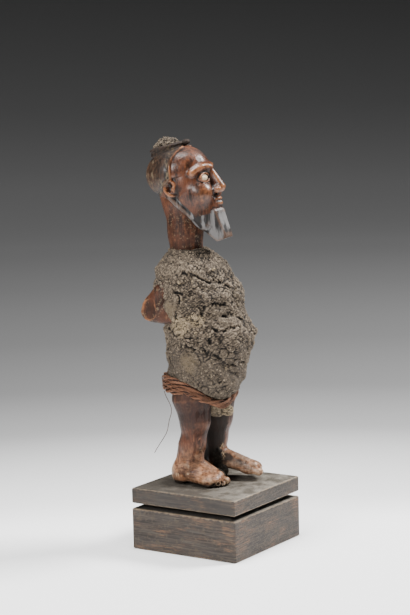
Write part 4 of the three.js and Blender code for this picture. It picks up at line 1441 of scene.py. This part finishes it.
# Painted sheen: pale grey patches on the blackened beard.
beard_sheen = patchy(tree, upright, 4.5, 0.46, 0.58)
beard_colour = blend(tree, beard_sheen["Mask"], (0.012, 0.0106, 0.0102), (0.135, 0.129, 0.126))
beard_colour = over(tree, beard_colour, (0.14, 0.075, 0.045), worn["Proud"], 0.4)
colour = blend(tree, beard, colour, beard_colour)

gloss = scaled(tree, fibre_lines["Noise"], 0.25, 0.2)
gloss = scaled(tree, worn["Hollow"], 0.3, gloss)
gloss = scaled(tree, math(tree, "MAXIMUM", dirt_share, chip), 0.35, gloss)
matt_share = math(tree, "MAXIMUM", attribute(tree, "grime_and_shade"), times(tree, hair, 0.5))
gloss = scaled(tree, matt_share, 0.25, gloss)
dull_share = math(tree, "ADD", neck_share, times(tree, thigh_share, 0.8))
gloss = scaled(tree, dull_share, 0.26, gloss)
gloss = scaled(tree, crest_share, 0.3, gloss)
lacquer = times(tree, ramp(tree, heights, 174.0, 190.0), scaled(tree, black["Mask"], -0.3, 0.34))
lacquer = times(tree, lacquer, math(tree, "SUBTRACT", 1.0, crest_share))
bumps = times(tree, fine_lines["Noise"], 0.25)
bumps = scaled(tree, fibre_lines["Noise"], 0.5, bumps)
bumps = scaled(tree, dirt["Noise"], 0.35, bumps)
shader = finish(tree, colour, gloss, bumps, 0.4, lacquer, specular=0.22)
shader.inputs["Coat Roughness"].default_value = 0.22

# %% [markdown]
# ## The earth
# Dried earth and resin are dull and very grainy: at arm's length one sees single beige grains, dark pits
# between them and olive dust where the surface is smooth. Two scatters of specks make the grains, and the
# masks for cracks, smooth and pale places shift the colours. The pits, the cracks and the hollows are painted
# nearly black, as painted shade.

# %% Earth
earth, tree = material("earth")
plain = millimetres(tree)
worn = weathered(tree, plain, 0.3, 0.9)
areas = patchy(tree, plain, 13.0, 0.4, 0.62)
small_areas = patchy(tree, plain, 2.2, 0.4, 0.62)
grit_noise = patchy(tree, plain, 0.8, 0.38, 0.66)
coarse = use(tree, specks, {"Vector": plain, "Size": 1.05, "Share": 0.42})
fine = use(tree, specks, {"Vector": plain, "Size": 0.6, "Share": 0.6})
smooth_here, pale_here = attribute(tree, "smooth"), attribute(tree, "pale")
rough_here = scaled(tree, smooth_here, -0.6, 1.0)
high_share = ramp(tree, add(tree, "SeparateXYZ", {0: plain}).outputs[2], 96.0, 118.0)
crumbly_here = times(tree, rough_here, scaled(tree, high_share, 0.65, 0.35))
colour = blend(tree, areas["Mask"], (0.04, 0.0295, 0.0225), (0.122, 0.093, 0.066))
colour = blend(tree, scaled(tree, high_share, -0.55, 0.65), colour, (0.036, 0.029, 0.024))
colour = over(tree, colour, (0.046, 0.034, 0.0245), small_areas["Mask"], 0.8)
colour = over(tree, colour, (0.2, 0.153, 0.104), grit_noise["Mask"], 0.4)
colour = over(tree, colour, (0.15, 0.11, 0.062), smooth_here, 0.5)
pale_share = times(tree, pale_here, scaled(tree, grit_noise["Mask"], 0.6, 0.35))
colour = blend(tree, pale_share, colour, (0.46, 0.35, 0.21))
grain_stops = [(0.0, (0.016, 0.012, 0.009)), (0.45, (0.085, 0.063, 0.045))]
grain_stops += [(0.85, (0.24, 0.185, 0.125)), (1.0, (0.5, 0.4, 0.28))]
colour = over(tree, colour, shades(tree, coarse["Shade"], grain_stops), coarse["Mask"], rough_here, 0.6)
dust_colour = blend(tree, fine["Shade"], (0.018, 0.0138, 0.0106), (0.21, 0.165, 0.118))
colour = over(tree, colour, dust_colour, fine["Mask"], 0.45)
colour = over(tree, colour, (0.31, 0.24, 0.168), worn["Proud"], crumbly_here, 0.45)
pits = patchy(tree, plain, 1.7, 0.54, 0.62)
pit_share = times(tree, pits["Mask"], crumbly_here, ramp(tree, areas["Noise"], 0.56, 0.42))
# Painted shade: the pits between crumbs, the hollows of the relief and the cracks are painted nearly black.
colour = over(tree, colour, (0.008, 0.0062, 0.005), pit_share, 0.9)
colour = over(tree, colour, (0.011, 0.0086, 0.0068), worn["Hollow"], 0.85)
crack_shade = ramp(tree, attribute(tree, "crack"), 0.12, 0.7)
colour = over(tree, colour, (0.006, 0.0046, 0.0036), crack_shade, 0.9)
roughness = scaled(tree, small_areas["Noise"], 0.2, 0.75)
bumps = scaled(tree, fine["Height"], 0.6, coarse["Height"])
bumps = scaled(tree, grit_noise["Noise"], 1.0, times(tree, bumps, rough_here))
bumps = scaled(tree, pit_share, -0.8, bumps)
finish(tree, colour, roughness, bumps, 0.75, specular=0.3)

# %% [markdown]
# ## The cord and its loose end
# The fibres are rust-orange where they are rubbed, and the gaps between them are painted nearly black as
# shade. A picture of rope could be wrapped round the yarns, but the relief already knows where the gaps lie,
# so it places the painted shade and the rubbed colours itself. The cord's front, under the belly, is darkened
# with painted shade too.

# %% Fibre
fibre, tree = material("fibre")
plain = millimetres(tree)
worn = weathered(tree, plain, 0.3, 0.9)
tint = patchy(tree, plain, 2.4, 0.38, 0.62)
stain = patchy(tree, plain, 7.0, 0.48, 0.62)
hairs = patchy(tree, millimetres(tree, (0.6, 0.6, 3)), 0.6, 0.4, 0.62)
belly_shade = ramp(tree, add(tree, "SeparateXYZ", {0: plain}).outputs[1], -6.0, -22.0)
colour = blend(tree, tint["Mask"], (0.042, 0.0125, 0.0065), (0.105, 0.039, 0.019))
colour = over(tree, colour, (0.2, 0.1, 0.056), hairs["Mask"], 0.35)
colour = over(tree, colour, (0.03, 0.015, 0.01), stain["Mask"], 0.65)
colour = over(tree, colour, (0.28, 0.128, 0.066), worn["Proud"], 0.45)
# Painted shade: the front of the cord, under the overhanging belly, is darkened.
colour = over(tree, colour, (0.017, 0.0095, 0.0065), belly_shade, 0.85)
# Painted shade: the gaps between the yarns, where the relief is low, go nearly black.
colour = over(tree, colour, (0.009, 0.005, 0.0035), worn["Hollow"], 0.95)
roughness = scaled(tree, hairs["Noise"], 0.3, 0.55)
finish(tree, colour, roughness, hairs["Noise"], 0.7, specular=0.3)

thin_fibre, tree = material("fibre_end")
plain = millimetres(tree)
tint = patchy(tree, plain, 2.0, 0.35, 0.65)
colour = blend(tree, tint["Mask"], (0.03, 0.018, 0.012), (0.1, 0.055, 0.03))
finish(tree, colour, scaled(tree, tint["Noise"], 0.3, 0.5), tint["Noise"], 0.2)

# %% [markdown]
# ## The eyes
# The inlays are cream shell or bone, dulled and scratched by handling. One flat colour would look like
# plastic, so a soft cloud varies the cream, and scratches drawn out along one axis cut through it.

# %% Eye inlay
inlay, tree = material("eye_inlay")
plain = millimetres(tree)
worn = weathered(tree, plain, 0.05, 1.0)
cloud = patchy(tree, plain, 1.4, 0.4, 0.62)
scratches = patchy(tree, millimetres(tree, (0.25, 1, 2)), 0.3, 0.55, 0.7)
colour = blend(tree, cloud["Mask"], (0.38, 0.28, 0.175), (0.62, 0.48, 0.32))
colour = over(tree, colour, (0.09, 0.052, 0.03), scratches["Mask"], 0.6)
colour = over(tree, colour, (0.05, 0.03, 0.018), worn["Hollow"], 0.7)
finish(tree, colour, scaled(tree, cloud["Noise"], 0.35, 0.3), scratches["Noise"], 0.25)

# %% [markdown]
# ## The stained wood of the plinth
# The plinth is new wood, brushed, stained dark grey-brown and rubbed back, so that the raised grain and the
# edges show warmer. The brushing runs level on the sides. On the top it runs from front to back, so the
# grain's place is chosen by how far the face looks upwards. Light and shade are partly painted: the top grows
# lighter towards the key lamp, the upper left faces and the hollows are darker, and the pale edges are partly
# a painted highlight.

# %% Stained wood
stained, tree = material("stained_wood")
plain = millimetres(tree)
sideways, _, upward = add(tree, "SeparateXYZ", {0: add(tree, "NewGeometry").outputs["Normal"]}).outputs
top_share = math(tree, "GREATER_THAN", upward, 0.6)
side_place, top_place = millimetres(tree, (0.05, 0.05, 1)), millimetres(tree, (1, 0.05, 1))
grain_place = add(tree, "Mix", {0: top_share, 4: side_place, 5: top_place}, data_type="VECTOR").outputs[1]
slanted = add(tree, "Mapping", {"Vector": plain, "Rotation": (0.75, 0, 0), "Scale": (1, 0.06, 1)}).outputs[0]
worn = weathered(tree, plain, 0.16, 3.4)
broad = patchy(tree, plain, 16.0, 0.4, 0.6)
brushed = patchy(tree, grain_place, 0.8, 0.4, 0.62)
lines = patchy(tree, grain_place, 0.35, 0.45, 0.7)
slants = patchy(tree, slanted, 1.0, 0.5, 0.66)
warm = patchy(tree, millimetres(tree, (0.5, 0.5, 1)), 9.0, 0.48, 0.64)
smudge = patchy(tree, plain, 6.0, 0.42, 0.62)
colour = blend(tree, brushed["Mask"], (0.015, 0.0108, 0.0082), (0.05, 0.037, 0.0275))
colour = over(tree, colour, (0.034, 0.029, 0.0245), broad["Mask"], 0.35)
warm_share = times(tree, warm["Mask"], lines["Mask"], math(tree, "SUBTRACT", 1.0, top_share))
colour = over(tree, colour, (0.19, 0.095, 0.046), warm_share, 0.8)
colour = over(tree, colour, (0.095, 0.079, 0.064), slants["Mask"], 0.4)
top_colour = blend(tree, smudge["Mask"], (0.034, 0.029, 0.0225), (0.088, 0.078, 0.064))
top_stops = [(0.4, (0.08, 0.07, 0.055)), (0.52, (0.17, 0.152, 0.125)), (0.66, (0.25, 0.225, 0.185))]
across, along, heights = add(tree, "SeparateXYZ", {0: plain}).outputs
# Painted light: the top grows lighter towards the corner at +x and -y, on the key lamp's side.
key_side_light = ramp(tree, math(tree, "SUBTRACT", times(tree, across, 0.66), along), -22.0, 30.0)
top_colour = blend(tree, key_side_light, top_colour, shades(tree, smudge["Noise"], top_stops))
colour = over(tree, colour, top_colour, top_share, 0.8)
# Pale edges: rubbed-back wood, and partly a painted highlight along them.
colour = over(tree, colour, (0.23, 0.165, 0.105), worn["Proud"], 0.55)
# Painted shade in the hollows, such as the inner corners of the groove.
colour = over(tree, colour, (0.007, 0.0055, 0.0045), worn["Hollow"], 0.8)
# Painted shade: the upper faces that look towards -x, away from the key lamp, are darkened.
shaded_left_face = times(tree, math(tree, "LESS_THAN", sideways, -0.6), math(tree, "GREATER_THAN", heights, 23.0))
colour = over(tree, colour, (0.02, 0.017, 0.0145), shaded_left_face, 0.5)
roughness = scaled(tree, brushed["Noise"], 0.3, 0.45)
bumps = scaled(tree, lines["Noise"], 0.5, brushed["Noise"])
finish(tree, colour, roughness, bumps, 0.4, specular=0.35)

# %% [markdown]
# ## Dressing the pieces
# Each piece was given the name of its finish when it was made. A piece could be dressed on the spot, but
# one loop at the end keeps the shapes free of materials, and no piece is forgotten.

# %% Dressing the pieces
finishes = {"carved_wood": wood, "earth": earth, "fibre": fibre, "eye_inlay": inlay, "stained_wood": stained}
for made, slot_name in slots.items():
    made.data.materials.append(finishes[slot_name])
fibre_curve.materials.append(thin_fibre)
print("dressed:", len(slots) + 1, "pieces in", len(finishes) + 1, "finishes")

# %% [markdown]
# ## Floor, light and background
# The object stands on a pale sweep: a floor that curves up into the background at a distance, so that no
# horizon shows. Its paint is a painted pool of light: nearly white in front of the object and darkening with
# distance, which gives the smooth grey behind the head. A soft lamp at the right throws the soft shadow to
# the left, a second one at the left front gives the wood its highlights, and a third hangs overhead.

# %% Stage
def lamp(name, place, aim, size, power, colour=(1, 1, 1)):
    """A square area lamp at place, in metres, turned to face aim."""
    light = bpy.data.lights.new(name, "AREA")
    light.size, light.energy, light.color = size, power, colour
    made = bpy.data.objects.new(name, light)
    bpy.context.scene.collection.objects.link(made)
    back = np.array(place, float) - np.array(aim, float)
    back /= np.linalg.norm(back)
    right = np.cross((0, 0, 1), back)
    right /= np.linalg.norm(right)
    matrix = np.eye(4)
    matrix[:3, :3] = np.stack([right, np.cross(back, right), back], axis=1)
    matrix[:3, 3] = place
    made.matrix_world = matrix.T.tolist()
    return made


FIGURE_MIDDLE = (0, 0, 0.12)
LIGHT_POOL = (-0.25, -0.16, 0)
lamp("key", (0.6, -0.55, 0.85), FIGURE_MIDDLE, size=0.35, power=30)
lamp("fill", (-0.95, 0.15, 0.55), FIGURE_MIDDLE, size=0.4, power=12)
lamp("top", (-0.1, 0.05, 1.25), FIGURE_MIDDLE, size=0.5, power=26)

SWEEP_FLAT = 1.4
SWEEP_EDGE = 3.8
SWEEP_COLUMNS = 96
GREYS_REACH = 4.0
rise_radii = np.linspace(SWEEP_FLAT, SWEEP_EDGE, 40)
sweep_profile = [(0.01, 0), (0.3, 0), (0.7, 0)]
sweep_profile += [(r, 0.45 * (r - SWEEP_FLAT) ** 2.5) for r in rise_radii]
sweep = spun(sweep_profile, SWEEP_COLUMNS)
floor_mesh = bpy.data.meshes.new("floor")
floor_faces = np.array(faces_of(sweep, True)).reshape(-1, 4)[:-SWEEP_COLUMNS, ::-1]
floor_mesh.from_pydata(flat_list(sweep, True).tolist(), [], floor_faces.tolist())
floor_mesh.shade_smooth()
floor = bpy.data.objects.new("floor", floor_mesh)
bpy.context.scene.collection.objects.link(floor)
floor_paint, tree = material("pale_floor")
place = add(tree, "TexCoord").outputs["Object"]
# A painted pool of light: the floor is near white round LIGHT_POOL and greys off with distance from it.
from_pool = add(tree, "VectorMath", {0: place, 1: LIGHT_POOL}, operation="DISTANCE").outputs["Value"]
places = (0.0, 0.088, 0.1, 0.122, 0.15, 0.19, 0.25, 0.345, 0.45, 0.53, 0.59, 0.65, 1.0)
greys = (0.95, 0.94, 0.7, 0.5, 0.24, 0.15, 0.135, 0.162, 0.215, 0.18, 0.12, 0.088, 0.03)
stops = [(at, (grey,) * 3) for at, grey in zip(places, greys)]
shade = shades(tree, math(tree, "DIVIDE", from_pool, GREYS_REACH), stops)
shader = tree.nodes["Principled BSDF"]
tree.links.new(shade, shader.inputs["Base Color"])
shader.inputs["Roughness"].default_value = 0.9
shader.inputs["Specular IOR Level"].default_value = 0.0
floor_mesh.materials.append(floor_paint)

world = bpy.data.worlds.new("studio")
world.use_nodes = True
world.node_tree.nodes["Background"].inputs["Color"].default_value = (0.8, 0.82, 0.85, 1)
world.node_tree.nodes["Background"].inputs["Strength"].default_value = 0.03
bpy.context.scene.world = world
